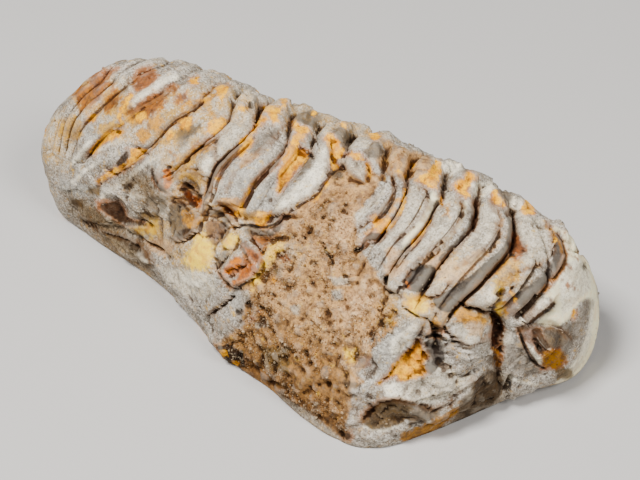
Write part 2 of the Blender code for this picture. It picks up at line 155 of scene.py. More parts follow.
# The bare stone: its crest and its two walls, as (x, size) along the spine
CREST = (
    (-62, 11), (-56, 20.5), (-48, 29.2), (-40, 33.0), (-30, 34.3), (-15, 33.6), (0, 33.8),
    (15, 33.6), (27, 32.2), (36, 29.2), (42, 25.4), (46, 18.6), (49, 12),
)
NEAR_WALL = (
    (-60, 7.5), (-50, 10), (-42, 12), (-30, 14.4), (-20, 17.8), (-12, 21.9), (-4, 25.2), (4, 27.0),
    (12, 30.0), (18, 31.6), (22, 31.5), (26, 28.8), (31, 22), (36, 14.6), (41, 8.5), (46, 4),
)
FAR_WALL = (
    (-60, 12), (-52, 17), (-42, 19), (-30, 20), (-15, 21), (0, 21.5), (15, 21.5), (27, 20.5),
    (36, 18.5), (44, 14), (48, 9),
)
HEAD_TUCK = ((-60, 1), (20, 1), (28, 1.0), (34, 2.2), (40, 5.0), (50, 5.0))
NEAR_BEND = 0.030
FAR_BEND = 0.055
EDGE_BLEND = 7.0
CAP_BLEND = 4.0
BASE_BLEND = 1.5
TUCK_FROM, TUCK_ABOVE, TUCK_BELOW = 8.0, 0.010, 0.022
# Rounded ends: where each starts, its length, and the middle, reach and roundness of its section
TAIL_START, TAIL_LENGTH = -36.0, 22.0
TAIL_MIDDLE, TAIL_REACH, TAIL_ROUND = (3.0, 19.0), (24.0, 24.0), 0.30
HEAD_START, HEAD_LENGTH = 24.0, 22.6
HEAD_MIDDLE, HEAD_REACH, HEAD_ROUND = (4.0, 16.0), (24.0, 26.0), 0.35
END_SCALE = 20.0

# Lines where one segment meets the next, from the tail: x at each turn from the top
RING_TURN = -13.0
TURNS = (-13, 5, 12, 20, 30, 40, 50, 60, 80)
SEGMENT_LINES = (
    (-48.0, -49.5, -50.2, -51.0, -51.6, -52.0, -52.2, -52.4, -52.6),
    (-44.0, -46.0, -47.2, -48.6, -49.6, -50.2, -50.6, -50.8, -51.0),
    (-40.0, -42.2, -43.6, -45.6, -47.2, -48.2, -48.8, -49.2, -49.6),
    (-35.5, -38.5, -39.9, -42.1, -44.4, -45.8, -46.6, -47.2, -48.0),
    (-30.5, -31.0, -32.1, -34.9, -37.6, -40.4, -42.2, -43.4, -45.0),
    (-25.0, -24.4, -25.1, -27.2, -28.9, -30.8, -33.1, -35.7, -40.0),
    (-20.5, -18.3, -17.6, -18.4, -20.8, -22.6, -24.6, -25.8, -28.0),
    (-16.0, -13.7, -13.4, -14.0, -15.1, -15.8, -16.0, -16.2, -16.6),
    (-9.9, -7.2, -6.5, -6.8, -7.8, -8.3, -8.7, -9.0, -9.4),
    (-4.3, -2.6, -2.1, -2.4, -2.8, -2.9, -3.0, -3.2, -3.5),
    (1.8, 3.4, 3.4, 3.4, 2.3, 0.0, -1.4, -1.8, -2.2),
    (8.3, 11.0, 11.6, 11.6, 10.7, 9.5, 9.0, 8.4, 8.0),
    (13.2, 15.4, 16.3, 16.7, 16.5, 15.8, 15.2, 14.6, 14.0),
    (19.2, 21.6, 21.8, 21.9, 21.5, 20.6, 19.8, 19.2, 18.6),
    (25.3, 27.9, 28.3, 28.1, 27.3, 26.6, 26.2, 25.9, 25.5),
    (31.5, 34.9, 35.0, 34.9, 34.3, 33.5, 32.4, 31.5, 30.0),
    (35.6, 41.0, 41.4, 41.2, 40.9, 40.3, 39.7, 39.0, 38.0),
)

# Heights across one segment, from its rear line (0) to its front line (1)
CRESCENT = (
    (0, -1.1), (0.04, 0.0), (0.12, 0.5), (0.35, 0.8), (0.55, 1.05), (0.60, 0.0), (0.72, 0.35),
    (0.84, 0.3), (0.94, -0.1), (1, -1.2),
)
SPLIT = (
    (0, -0.5), (0.22, -0.3), (0.34, 0.5), (0.42, -0.4), (0.53, 0.6), (0.62, -0.1), (0.80, 0.1),
    (0.94, -0.1), (1, -1.3),
)
ROUND = ((0, -1.1), (0.04, -0.2), (0.12, 0.4), (0.40, 0.7), (0.75, 0.6), (0.93, 0.0), (1, -1.1))
VALLEY = ((0, -1.3), (0.08, -0.5), (0.18, 0.5), (0.42, 0.5), (0.52, -0.7), (0.70, -1.0), (1, -0.9))
BLADE = ((0, -0.9), (0.08, -0.6), (0.20, 0.3), (0.45, 0.8), (0.80, 0.9), (0.95, 0.5), (1, -0.9))
LOW = ((0, -0.5), (0.10, -0.1), (0.35, 0.4), (0.65, 0.4), (0.90, 0.0), (1, -0.5))
RING = ((0, -1.1), (0.08, -0.4), (0.20, 0.9), (0.5, 1.3), (0.78, 1.1), (0.92, -0.3), (1, -1.1))
# Each segment from the tail: its profile, and the turn where its near rib ends
RIBS = (
    (LOW, 80), (LOW, 80), (LOW, 76), (LOW, 70), (LOW, 62), (ROUND, 48), (ROUND, 46), (ROUND, 53),
    (VALLEY, 49), (BLADE, 47), (BLADE, 15), (SPLIT, 42), (CRESCENT, 50), (CRESCENT, 57),
    (CRESCENT, 64), (CRESCENT, 50),
)
FIRST_FULL_SEGMENT = 4
FAR_RIB_END = 74
RING_CALM = ((-40, 0.25), (-24, 0.5), (-16, 1.0))
FURROW_TURN, FURROW_WIDTH, FURROW_DEPTH = 7.0, 3.0, 1.0
FAR_RIB_SHARE = 0.8
# Turns over which ribs rise beside the rings, fade at their ends, and rings fall away
RIB_RISE, RIB_FADE, RING_EDGE = (4.0, 9.0), (-4.0, 5.0), (3.0, 8.0)
# Lines stop leaning towards the underside from this turn, over this many degrees
LEAN_END, LEAN_FADE = 150.0, 70.0

# Crumbly sandstone that buries the middle of the near flank, as (x, angle) corners
SAND_OUTLINE = (
    (12.5, 10), (4.2, 14), (4.3, 28), (2.1, 38), (0.5, 52), (-3.3, 58), (-0.1, 67), (-3.3, 83),
    (-1.1, 96), (-6, 110), (-1.2, 120), (11.7, 118), (20.7, 114), (20, 101), (19.8, 93), (24.8, 70),
    (21.5, 60), (14.6, 50), (11.4, 33), (12.3, 21),
)
DEGREE_ROUND = 0.36
SAND_EDGE, SAND_SINK = 0.8, 0.3
FAR_FROM_SAND = -9.0

# Ridges (height above zero) and cracks (below), each with its places, half width and height
STRIPS = {
    "cheek bar": (((29.6, 63), (26.4, 69), (23.5, 77), (21.1, 85), (19.8, 95)), 2.4, 1.5),
    "cheek ledge": (
        ((36.0, 104), (33.5, 113), (31.0, 111), (29.0, 101), (26.5, 95), (23.0, 96), (20.5, 103)), 1.6, 1.5,
    ),
    "head bar": (((39.6, 54), (41.0, 40), (42.6, 21)), 1.1, 1.0),
    "under head bar": (((39.9, 60), (41.6, 46), (43.2, 24)), 0.7, -0.8),
    "neck crack": (((36.8, 56), (37.8, 71), (37.9, 90), (38.4, 110), (38.6, 133)), 0.85, -1.5),
    "cheek crack": (((29.3, 66), (30.6, 74), (31.6, 86), (33.6, 98)), 0.6, -1.2),
    "rib end crack": (((-2.0, 47), (-4.4, 52), (-7.2, 53), (-11.3, 53), (-13.7, 60)), 0.8, -1.6),
    "short crack": (((-3.2, 60), (0.8, 55), (3.0, 50)), 0.7, -1.2),
    "base step": (((-46.6, 139), (-40.2, 125), (-34.5, 113), (-26.3, 106), (-21.0, 100)), 0.9, -0.8),
    "base lip": (((-42.0, 134), (-34.0, 122), (-26.0, 116), (-18.0, 112), (-10.0, 106)), 2.2, 0.6),
    "tail ridge": (((-45.0, 56), (-41.0, 41), (-36.0, 24), (-34.2, 14), (-32.2, 6)), 0.8, 0.5),
    "ring notch": (((-15.4, -34), (-15.0, -13), (-14.2, 2)), 1.1, -1.3),
}
# Lumps (height above zero) and hollows (below), each with its place, reach and height
LUMPS = {
    "cheek hollow": ((28.6, 80), 3.6, -1.9),
    "cheek chip": ((26.0, 106), 3.4, -0.8),
    "cheek face": ((31.5, 82), 2.6, -0.5),
    "near eye": ((42.6, 84), 2.9, 1.5),
    "far eye": ((40.0, -108), 2.9, 1.3),
    "brow": ((41.0, -20), 7.0, 0.7),
    "tall ring": ((23.0, -10), 4.2, 0.9),
    "neck stone": ((34.2, 43), 3.0, 1.6),
    "neck stone low": ((33.6, 66), 3.2, 1.3),
    "neck stone foot": ((34.8, 80), 2.6, 0.9),
    "eye hollow": ((38.6, 78), 3.0, -0.6),
    "leaf chip": ((-16.4, 35), 2.8, 0.9),
    "dark pit": ((-35.8, 96), 3.2, -1.8),
    "rust hollow": ((-19.5, 53), 3.4, -1.8),
    "tail lump": ((-24.5, 55), 3.0, 0.8),
    "rust lump": ((-4.4, 73), 3.6, 1.1),
    "pale lump": ((-12.0, 84), 5.0, 0.7),
    "foot lump": ((-7.0, 118), 4.0, 1.2),
    "tail hollow": ((-27.0, 84), 5.0, -0.7),
    "sand hump": ((8.0, 84), 7.0, 0.8),
    "sand foot": ((14.0, 100), 6.0, 0.7),
    "rib tip": ((21.4, 57), 1.7, 1.0),
    "rib tip ahead": ((24.5, 56), 1.6, 0.7),
}
EYE_GROOVES = (("round the eye", 3.7, 0.7, 0.7), ("cheek furrow", 6.6, 1.3, 1.0))
SHELL_FROM, SHELL_TO = 41.0, 43.0
STRIP_TAPER, STRIP_END = 6.0, 0.5
LUMP_FLAT, LUMP_EDGE = 0.35, 1.15
EYE_FROM, EYE_TO = 40.5, 42.5
# Surface texture: the size across and the height of each kind
CHIP_SIZE, CHIP_HEIGHT = 5.0, 0.5
RING_CHIP_SIZE, RING_CHIP_HEIGHT = 3.0, 0.5
SWELL_SIZE, SWELL_HEIGHT = 6.0, 0.45
CRUMB_SIZE, CRUMB_HEIGHT = 2.2, 0.5
CHIP_TIP = 1.2
CHIPS_FROM, CHIPS_TO = 40.0, 60.0
FOOT_LOW, FOOT_HIGH = 0.3, 3.5
CHIP_SEED, RING_CHIP_SEED, SWELL_SEED, CRUMB_SEED = 11, 17, 3, 8
# Chips soften where sand buries them, and swells where the shell is smooth
SAND_SOFTENS, SHELL_SOFTENS = 0.5, 0.7
# How the animal starts after its first line and stops before its last, in mm
BODY_START, BODY_STOP = (-1, 1), (-0.3, 0.1)
# Large odd numbers that shuffle a cell's place into a number that looks random
CELL_SHUFFLE, SEED_SHUFFLE = (374761393, 668265263, 2147483647), 144665
MIX_FIRST, MIX_SECOND, ALL_BITS = 1274126177, 2246822519, 0xFFFFFFFF


# %% [markdown]
# ## Finding the skin
# A ray goes out from the spine and stops where it leaves the boulder. That gives one point for
# every x and angle, so the whole skin is a ball whose rings are carried onto the stone. Rings of
# points lean with the ribs, so a rib's edge runs along a row and stays crisp.

# %% Rules for the skin
def curve(x, points):
    """A smooth line through (x, value) points."""
    xs, ys = np.array(points, float).T
    slope = np.gradient(ys, xs)
    x = np.clip(x, xs[0], xs[-1])
    i = np.clip(np.searchsorted(xs, x) - 1, 0, len(xs) - 2)
    run = xs[i + 1] - xs[i]
    t = (x - xs[i]) / run
    start = (2 * t**3 - 3 * t**2 + 1) * ys[i] + (t**3 - 2 * t**2 + t) * run * slope[i]
    return start + (3 * t**2 - 2 * t**3) * ys[i + 1] + (t**3 - t**2) * run * slope[i + 1]


def smooth(x, low, high):
    """0 below low and 1 above high, with a soft step between them."""
    t = np.clip((x - low) / (high - low), 0, 1)
    return t * t * (3 - 2 * t)


def join(a, b, soft):
    """The larger of two depths, rounded where they cross, so a wall meets a top in a soft edge."""
    share = np.clip(0.5 + 0.5 * (a - b) / soft, 0, 1)
    return a * share + b * (1 - share) + soft * share * (1 - share)


def past_end(beyond, length, y, z, middle, reach, roundness):
    """How far outside a rounded end a point is that lies beyond the end's start."""
    section = ((y - middle[0]) / reach[0]) ** 2 + ((z - middle[1]) / reach[1]) ** 2
    size = np.sqrt((beyond / length) ** 2 + roundness * section)
    return np.where(beyond > 0, END_SCALE * (size - 1), -END_SCALE)


def depth(p):
    """How far outside the bare stone a point is, below zero inside it."""
    x, y, z = p[..., 0], p[..., 1], p[..., 2]
    bend = np.where(y < 0, NEAR_BEND, FAR_BEND)
    top = (z - curve(x, CREST) + bend * y**2) / np.sqrt(1 + (2 * bend * y) ** 2)
    tuck = np.where(z > TUCK_FROM, TUCK_ABOVE, TUCK_BELOW) * (z - TUCK_FROM) ** 2
    near_tuck = np.where(z > TUCK_FROM, tuck, tuck * curve(x, HEAD_TUCK))
    body = join(top, -y - curve(x, NEAR_WALL) + near_tuck, EDGE_BLEND)
    body = join(body, y - curve(x, FAR_WALL) + tuck, EDGE_BLEND)
    tail = past_end(TAIL_START - x, TAIL_LENGTH, y, z, TAIL_MIDDLE, TAIL_REACH, TAIL_ROUND)
    head = past_end(x - HEAD_START, HEAD_LENGTH, y, z, HEAD_MIDDLE, HEAD_REACH, HEAD_ROUND)
    body = join(join(body, tail, CAP_BLEND), head, CAP_BLEND)
    return join(body, -z, BASE_BLEND)


def reach_skin(origin, way, reach=75.0, steps=50, halvings=12):
    """Where a ray from inside the stone leaves it, looked for from outside."""
    low = np.zeros(origin.shape[:-1])
    high = np.full(origin.shape[:-1], reach)
    found = np.zeros(origin.shape[:-1], bool)
    for k in range(steps):
        r = reach * (1 - k / steps)
        inside = (depth(origin + way * r) < 0) & ~found
        low = np.where(inside, r, low)
        high = np.where(inside, r + reach / steps, high)
        found |= inside
    for _ in range(halvings):
        middle = (low + high) / 2
        inside = depth(origin + way * middle[..., None]) < 0
        low = np.where(inside, middle, low)
        high = np.where(inside, high, middle)
    return origin + way * ((low + high) / 2)[..., None]


def outward(p, step=0.6):
    """The unit direction away from the bare stone."""
    sides = []
    for move in np.eye(3) * step:
        sides.append(depth(p + move) - depth(p - move))
    way = np.stack(sides, -1)
    return way / np.linalg.norm(way, axis=-1, keepdims=True)


def angle_of(p):
    """The angle of points round the spine, in degrees from straight up."""
    return np.degrees(np.arctan2(SPINE_Y - p[..., 1], p[..., 2] - SPINE_Z))


def turned(angle):
    """The far flank repeats the near one about the rings' middle."""
    return RING_TURN + np.abs(angle - RING_TURN)


def lines_at(turn):
    """x of every segment line at this turn."""
    turn = np.minimum(turn, TURNS[-1])
    return np.stack([curve(turn, tuple(zip(TURNS, line))) for line in SEGMENT_LINES], -1)


def lean(base, angle):
    """x of a line that leans with the ribs and crosses the rings at base."""
    rings = np.array([line[0] for line in SEGMENT_LINES], float)
    shift = lines_at(turned(angle)) - rings
    row = np.interp(base, rings, np.arange(len(rings)))
    i = np.clip(row.astype(int), 0, len(rings) - 2)[..., None]
    low = np.take_along_axis(shift, i, -1)[..., 0]
    high = np.take_along_axis(shift, i + 1, -1)[..., 0]
    fade = np.clip((LEAN_END - turned(angle)) / LEAN_FADE, 0, 1)
    return base + (low + (row - i[..., 0]) * (high - low)) * fade


def on_spine(x, angle, tilt):
    """A ray from the spine at x, turned round it by angle and tipped towards the head by tilt."""
    round_x = np.radians(angle)
    origin = np.stack([x, np.full_like(x, SPINE_Y), np.full_like(x, SPINE_Z)], -1)
    across = np.cos(tilt)
    way = np.stack([np.sin(tilt), -across * np.sin(round_x), across * np.cos(round_x)], -1)
    return origin, way


def bare_point(along, angle):
    """The place on the bare stone at a length along it, past the spine's ends over the caps."""
    base = np.clip(along, TAIL_END, HEAD_END)
    tilt = np.clip((along - base) / CAP_REACH, -np.pi / 2, np.pi / 2)
    return reach_skin(*on_spine(lean(base, angle), angle, tilt))


def spots(places):
    """Points on the bare stone from (x, angle) places."""
    x, angle = np.array(places, float).T
    return reach_skin(*on_spine(x, angle, np.zeros_like(x)))


def to_line(p, points):
    """Distance from a bent line, and how far along it the nearest point is, from 0 to 1."""
    best = np.full(p.shape[:-1], np.inf)
    share = np.zeros(p.shape[:-1])
    pieces = len(points) - 1
    for i in range(pieces):
        start, run = points[i], points[i + 1] - points[i]
        f = np.clip(((p - start) @ run) / (run @ run), 0, 1)
        gap = np.linalg.norm(p - start - f[..., None] * run, axis=-1)
        share = np.where(gap < best, (i + f) / pieces, share)
        best = np.minimum(best, gap)
    return best, share


def within(x, angle, outline):
    """Distance in mm inside an outline on the unrolled flank, below zero outside it."""
    scale = np.array([1.0, DEGREE_ROUND])
    corners = np.array(outline, float) * scale
    p = np.stack([x, angle], -1) * scale
    best = np.full(x.shape, np.inf)
    crossed = np.zeros(x.shape, bool)
    for a, b in zip(corners, np.roll(corners, -1, 0)):
        run = b - a
        f = np.clip(((p - a) @ run) / (run @ run), 0, 1)
        best = np.minimum(best, np.linalg.norm(p - a - f[..., None] * run, axis=-1))
        cut = a[0] + (p[..., 1] - a[1]) / run[1] * run[0]
        crossed ^= ((a[1] > p[..., 1]) != (b[1] > p[..., 1])) & (p[..., 0] < cut)
    return np.where(crossed, best, -best)


def hashed(cell, seed):
    """A steady number from 0 to 1 for each whole-number cell."""
    a, b, c = CELL_SHUFFLE
    n = cell[..., 0] * a + cell[..., 1] * b + cell[..., 2] * c + seed * SEED_SHUFFLE
    n = n & ALL_BITS
    n = ((n ^ (n >> 13)) * MIX_FIRST) & ALL_BITS
    n = ((n ^ (n >> 16)) * MIX_SECOND) & ALL_BITS
    return (n ^ (n >> 15)) / (ALL_BITS + 1)


def noise(p, size, seed):
    """A soft random swell from -1 to 1, in lumps about size across."""
    q = p / size
    cell = np.floor(q).astype(np.int64)
    f = q - cell
    w = f * f * (3 - 2 * f)
    total = 0.0
    for corner in range(8):
        bit = np.array([corner & 1, corner >> 1 & 1, corner >> 2 & 1])
        total = total + np.prod(np.where(bit, w, 1 - w), axis=-1) * hashed(cell + bit, seed)
    return 2 * total - 1


def rough(p, size, seed, octaves):
    """Noise in lumps about size across, with finer and weaker noise on top."""
    return sum(0.5**k * noise(p, size / 2**k, seed + k) for k in range(octaves))


def facets(p, size, seed):
    """Flat chips about size across, each tipped its own way."""
    q = p / size
    cell = np.floor(q).astype(np.int64)
    best = np.full(p.shape[:-1], np.inf)
    height = np.zeros(p.shape[:-1])
    for corner in range(27):
        here = cell + np.array([corner % 3 - 1, corner // 3 % 3 - 1, corner // 9 - 1])
        point = here + np.stack([hashed(here, seed + a) for a in range(3)], -1)
        tip = np.stack([hashed(here, seed + 3 + a) for a in range(3)], -1) * 2 - 1
        gap = ((q - point) ** 2).sum(-1)
        tall = ((q - point) * tip).sum(-1) * CHIP_TIP + hashed(here, seed + 6) - 0.5
        height = np.where(gap < best, tall, height)
        best = np.minimum(best, gap)
    return height


def animal(p, angle):
    """Heights of the rings along the back and the ribs down both flanks, and of the sand over them."""
    x = p[..., 0]
    turn = turned(angle)
    near = angle > RING_TURN
    lines = lines_at(turn)
    k = np.clip((lines <= x[..., None]).sum(-1) - 1, 0, len(RIBS) - 1)
    start = np.take_along_axis(lines, k[..., None], -1)[..., 0]
    stop = np.take_along_axis(lines, k[..., None] + 1, -1)[..., 0]
    t = np.clip((x - start) / (stop - start), 0, 1)
    rib = np.zeros_like(x)
    for i, (profile, near_end) in enumerate(RIBS):
        far_profile = ROUND if i >= FIRST_FULL_SEGMENT else LOW
        far_shape = FAR_RIB_SHARE * np.interp(t, *np.array(far_profile).T)
        shape = np.where(near, np.interp(t, *np.array(profile).T), far_shape)
        end = np.where(near, near_end, FAR_RIB_END)
        rib = np.where(k == i, shape * smooth(turn, *RIB_RISE) * smooth(end - turn, *RIB_FADE), rib)
    calm = np.interp(x, *np.array(RING_CALM).T)
    on_rings = 1 - smooth(turn, *RING_EDGE)
    ring_chips = RING_CHIP_HEIGHT * facets(p, RING_CHIP_SIZE, RING_CHIP_SEED)
    ring = (np.interp(t, *np.array(RING).T) + ring_chips) * calm * on_rings
    furrow = -FURROW_DEPTH * np.exp(-(((turn - FURROW_TURN) / FURROW_WIDTH) ** 2)) * calm
    body = smooth(x - lines[..., 0], *BODY_START) * smooth(lines[..., -1] - x, *BODY_STOP)
    sand = np.where(near, within(x, angle, SAND_OUTLINE), FAR_FROM_SAND)
    buried = smooth(sand, -SAND_EDGE, SAND_EDGE)
    return (rib + ring + furrow) * body * (1 - buried) - SAND_SINK * buried, buried


def relief(p):
    """Height of the fossil's detail over the bare stone."""
    x, z = p[..., 0], p[..., 2]
    angle = angle_of(p)
    height, buried = animal(p, angle)
    for places, width, tall in STRIPS.values():
        gap, share = to_line(p, spots(places))
        taper = np.minimum(1, STRIP_TAPER * np.minimum(share, 1 - share) + STRIP_END)
        height = height + tall * np.exp(-((gap / width) ** 2)) * taper
    for place, reach, tall in LUMPS.values():
        gap = np.linalg.norm(p - spots((place,))[0], axis=-1)
        height = height + tall * (1 - smooth(gap, LUMP_FLAT * reach, LUMP_EDGE * reach))
    eye = np.linalg.norm(p - spots((LUMPS["near eye"][0],))[0], axis=-1)
    for _, radius, width, deep in EYE_GROOVES:
        height = height - deep * np.exp(-(((eye - radius) / width) ** 2)) * smooth(x, EYE_FROM, EYE_TO)
    shell = smooth(x, SHELL_FROM, SHELL_TO)
    below_ribs = smooth(turned(angle), CHIPS_FROM, CHIPS_TO)
    firm = (1 - shell) * (1 - SAND_SOFTENS * buried)
    chips = CHIP_HEIGHT * facets(p, CHIP_SIZE, CHIP_SEED) * firm * below_ribs
    swell = SWELL_HEIGHT * rough(p, SWELL_SIZE, SWELL_SEED, 3) * (1 - SHELL_SOFTENS * shell)
    crumble = CRUMB_HEIGHT * rough(p, CRUMB_SIZE, CRUMB_SEED, 2) * buried
    return (height + chips + swell + crumble) * smooth(z, FOOT_LOW, FOOT_HIGH)


def row_places(tail_rows, shares, head_rows):
    """Places along the stone, pole to pole, with a row on every segment line and at shares between."""
    cap = CAP_REACH * np.pi / 2
    rings = [line[0] for line in SEGMENT_LINES if line[0] > TAIL_END]
    places = list(np.linspace(TAIL_END - cap, TAIL_END, tail_rows, endpoint=False))
    for low, high in zip(rings[:-1], rings[1:]):
        places += [low + share * (high - low) for share in shares]
    ends = np.interp(np.linspace(0, 1, head_rows + 1), *np.array(HEAD_ROW_STOPS).T)
    return np.array([*places, *(rings[-1] + ends * (HEAD_END + cap - rings[-1]))])


def share_of(value, stops):
    """Spreads a share from 0 to 1 over stretches, each with its own part of the mesh."""
    shares, places = np.array(stops, float).T
    return np.interp(value, shares, places)



# %% [markdown]
# ## Edges and cracks, drawn in the picture
# Ribs of a fossil are thin plates with a crisp edge and a dark gap beside it. One rule for all of
# them would look cast, so each edge is drawn as a line of picture spots, like tracing on film. A
# step stands higher on its right hand as the line runs, and a cut is a groove of a half width.

# %% Steps
# name: (height in mm on the right hand, drop in mm on the left, reach in pixels, points)
STEPS = {
    "rib 1 face": (0.35, 0.45, 3, (
        (546, 222), (551, 230), (553, 240), (552, 252), (548, 260), (538, 264), (527, 267), (514, 273),
    )),
    "rib 1 band": (0.3, 0.5, 4, (
        (556, 231), (561, 240), (564, 250), (564, 260), (561, 268), (555, 277), (545, 288), (533, 299),
        (520, 311),
    )),
    "rib 2 face": (0.35, 0.45, 3, (
        (490, 203), (497, 209), (500, 217), (499, 227), (495, 237), (488, 246), (480, 253), (468, 261),
        (455, 268),
    )),
    "rib 2 band": (0.2, 0.3, 4, (
        (508, 208), (513, 216), (514, 228), (514, 240), (511, 250), (502, 261), (491, 272), (479, 284),
        (467, 296), (455, 308),
    )),
    "rib 3 face": (0.35, 0.45, 3, (
        (459, 197), (462, 206), (461, 216), (457, 225), (450, 234), (443, 241), (434, 248), (424, 256),
        (412, 262),
    )),
    "rib 3 band": (0.2, 0.3, 4, (
        (473, 200), (476, 208), (476, 218), (473, 228), (467, 237), (460, 245), (452, 253), (443, 261),
    )),
    "rib 4 face": (0.35, 0.45, 3, (
        (420, 184), (426, 191), (428, 199), (427, 207), (424, 215), (418, 222), (411, 228), (404, 234),
        (396, 240),
    )),
    "rib 4 band": (0.2, 0.3, 4, (
        (440, 197), (441, 205), (436, 212), (431, 219), (427, 228), (420, 238), (412, 247), (403, 257),
        (395, 267),
    )),
    "rib 4 plate": (0.7, 0.9, 6, (
        (436, 251), (426, 258), (416, 263), (409, 270), (404, 277), (401, 284), (396, 289), (389, 291),
        (385, 287),
    )),
    "rib 5 face": (0.4, 0.6, 5, (
        (391, 175), (394, 185), (393, 195), (389, 204), (384, 212), (375, 218), (366, 222), (357, 227),
    )),
    "rib 5 band": (0.2, 0.4, 4, (
        (404, 176), (407, 187), (405, 200), (400, 212), (394, 223), (386, 234), (378, 243),
    )),
    "rib 3 foot": (0.5, 0.8, 4, (
        (448, 284), (444, 290), (437, 294), (430, 297), (424, 295), (430, 287), (436, 278),
    )),
    "white blade": (0.5, 0.9, 6, (
        (330, 146), (330, 157), (328, 167), (325, 177), (319, 188), (311, 196), (301, 202), (292, 208),
        (284, 213), (272, 215),
    )),
    "rib 8 edge": (0.3, 0.5, 5, (
        (284, 152), (276, 162), (267, 170), (258, 178), (251, 187), (247, 197), (241, 207), (232, 204),
        (222, 203),
    )),
    "rib 8 line": (0.2, 0.3, 3, (
        (284, 124), (279, 132), (272, 141), (264, 150), (254, 157), (244, 162), (236, 170), (231, 180),
        (226, 192),
    )),
    "rib 9 edge": (0.3, 0.5, 5, (
        (252, 135), (244, 143), (236, 150), (228, 158), (221, 167), (215, 177), (211, 190), (206, 203),
        (201, 218),
    )),
    "leaf chip": (0.4, 0.6, 4, ((214, 145), (215, 158), (213, 168), (209, 178), (204, 180), (199, 170))),
    "line nine": (0.2, 0.3, 5, ((226, 130), (216, 138), (206, 146), (196, 151), (188, 159), (180, 168))),
    "line ten": (0.25, 0.35, 5, (
        (208, 97), (199, 104), (190, 112), (178, 119), (167, 127), (159, 138), (151, 148), (141, 157),
        (129, 166), (114, 174), (99, 184),
    )),
    "line eleven": (0.2, 0.3, 5, (
        (176, 86), (165, 94), (154, 102), (141, 108), (130, 117), (119, 126), (106, 134), (96, 144),
        (87, 156),
    )),
    "line twelve": (0.15, 0.25, 5, ((134, 80), (124, 88), (113, 97), (103, 105), (92, 115), (80, 127))),
    "stub": (0.5, 0.8, 4, ((363, 158), (367, 168), (367, 178), (363, 183), (355, 178), (346, 169))),
    "cheek bar low": (0.4, 0.5, 5, (
        (425, 318), (421, 330), (418, 338), (411, 348), (402, 356), (395, 365), (388, 375), (378, 382),
    )),
    "hollow's right": (-0.3, -0.5, 4, (
        (420, 341), (424, 350), (429, 358), (423, 363), (427, 373), (410, 379), (400, 381),
    )),
    "brown face top": (0.6, 0.7, 5, (
        (475, 378), (466, 385), (456, 393), (449, 403), (441, 407), (432, 409), (423, 404), (408, 401),
        (394, 399), (381, 401), (370, 409), (360, 421),
    )),
    "triangle rock": (0.6, 0.9, 5, (
        (498, 294), (494, 304), (486, 312), (478, 307), (470, 309), (464, 305),
    )),
    "middle block": (0.3, 0.6, 5, (
        (493, 318), (492, 330), (488, 340), (477, 343), (466, 346), (456, 338), (449, 332),
    )),
    "neck edge": (0.2, 0.4, 5, ((492, 315), (499, 323), (502, 334), (501, 345))),
    "head bar": (0.5, 0.7, 4, ((552, 301), (545, 308), (537, 314), (530, 320), (522, 326))),
    "eye top": (0.3, 0.4, 4, ((519, 329), (528, 327), (540, 325), (552, 326), (562, 330), (568, 337))),
    "red block": (0.6, 0.8, 5, (
        (262, 262), (259, 270), (254, 277), (244, 282), (233, 288), (228, 284), (222, 277),
    )),
    "brown ledge": (0.5, 0.5, 3, (
        (204, 214), (210, 209), (217, 206), (226, 212), (233, 219), (236, 226),
    )),
    "brown field": (0.4, 0.5, 3, (
        (171, 203), (178, 198), (186, 201), (193, 208), (199, 214), (201, 222), (194, 232), (186, 238),
        (179, 243), (172, 238),
    )),
    "arch lump": (0.4, 0.5, 3, (
        (172, 180), (178, 173), (190, 169), (201, 172), (206, 181), (205, 190), (201, 195), (195, 191),
        (189, 185),
    )),
    "foot block": (0.4, 0.8, 4, ((229, 297), (223, 304), (215, 309), (209, 314))),
    "base band": (0.3, 0.4, 6, (
        (152, 262), (146, 250), (136, 242), (124, 238), (112, 235), (100, 230), (88, 222),
    )),
}
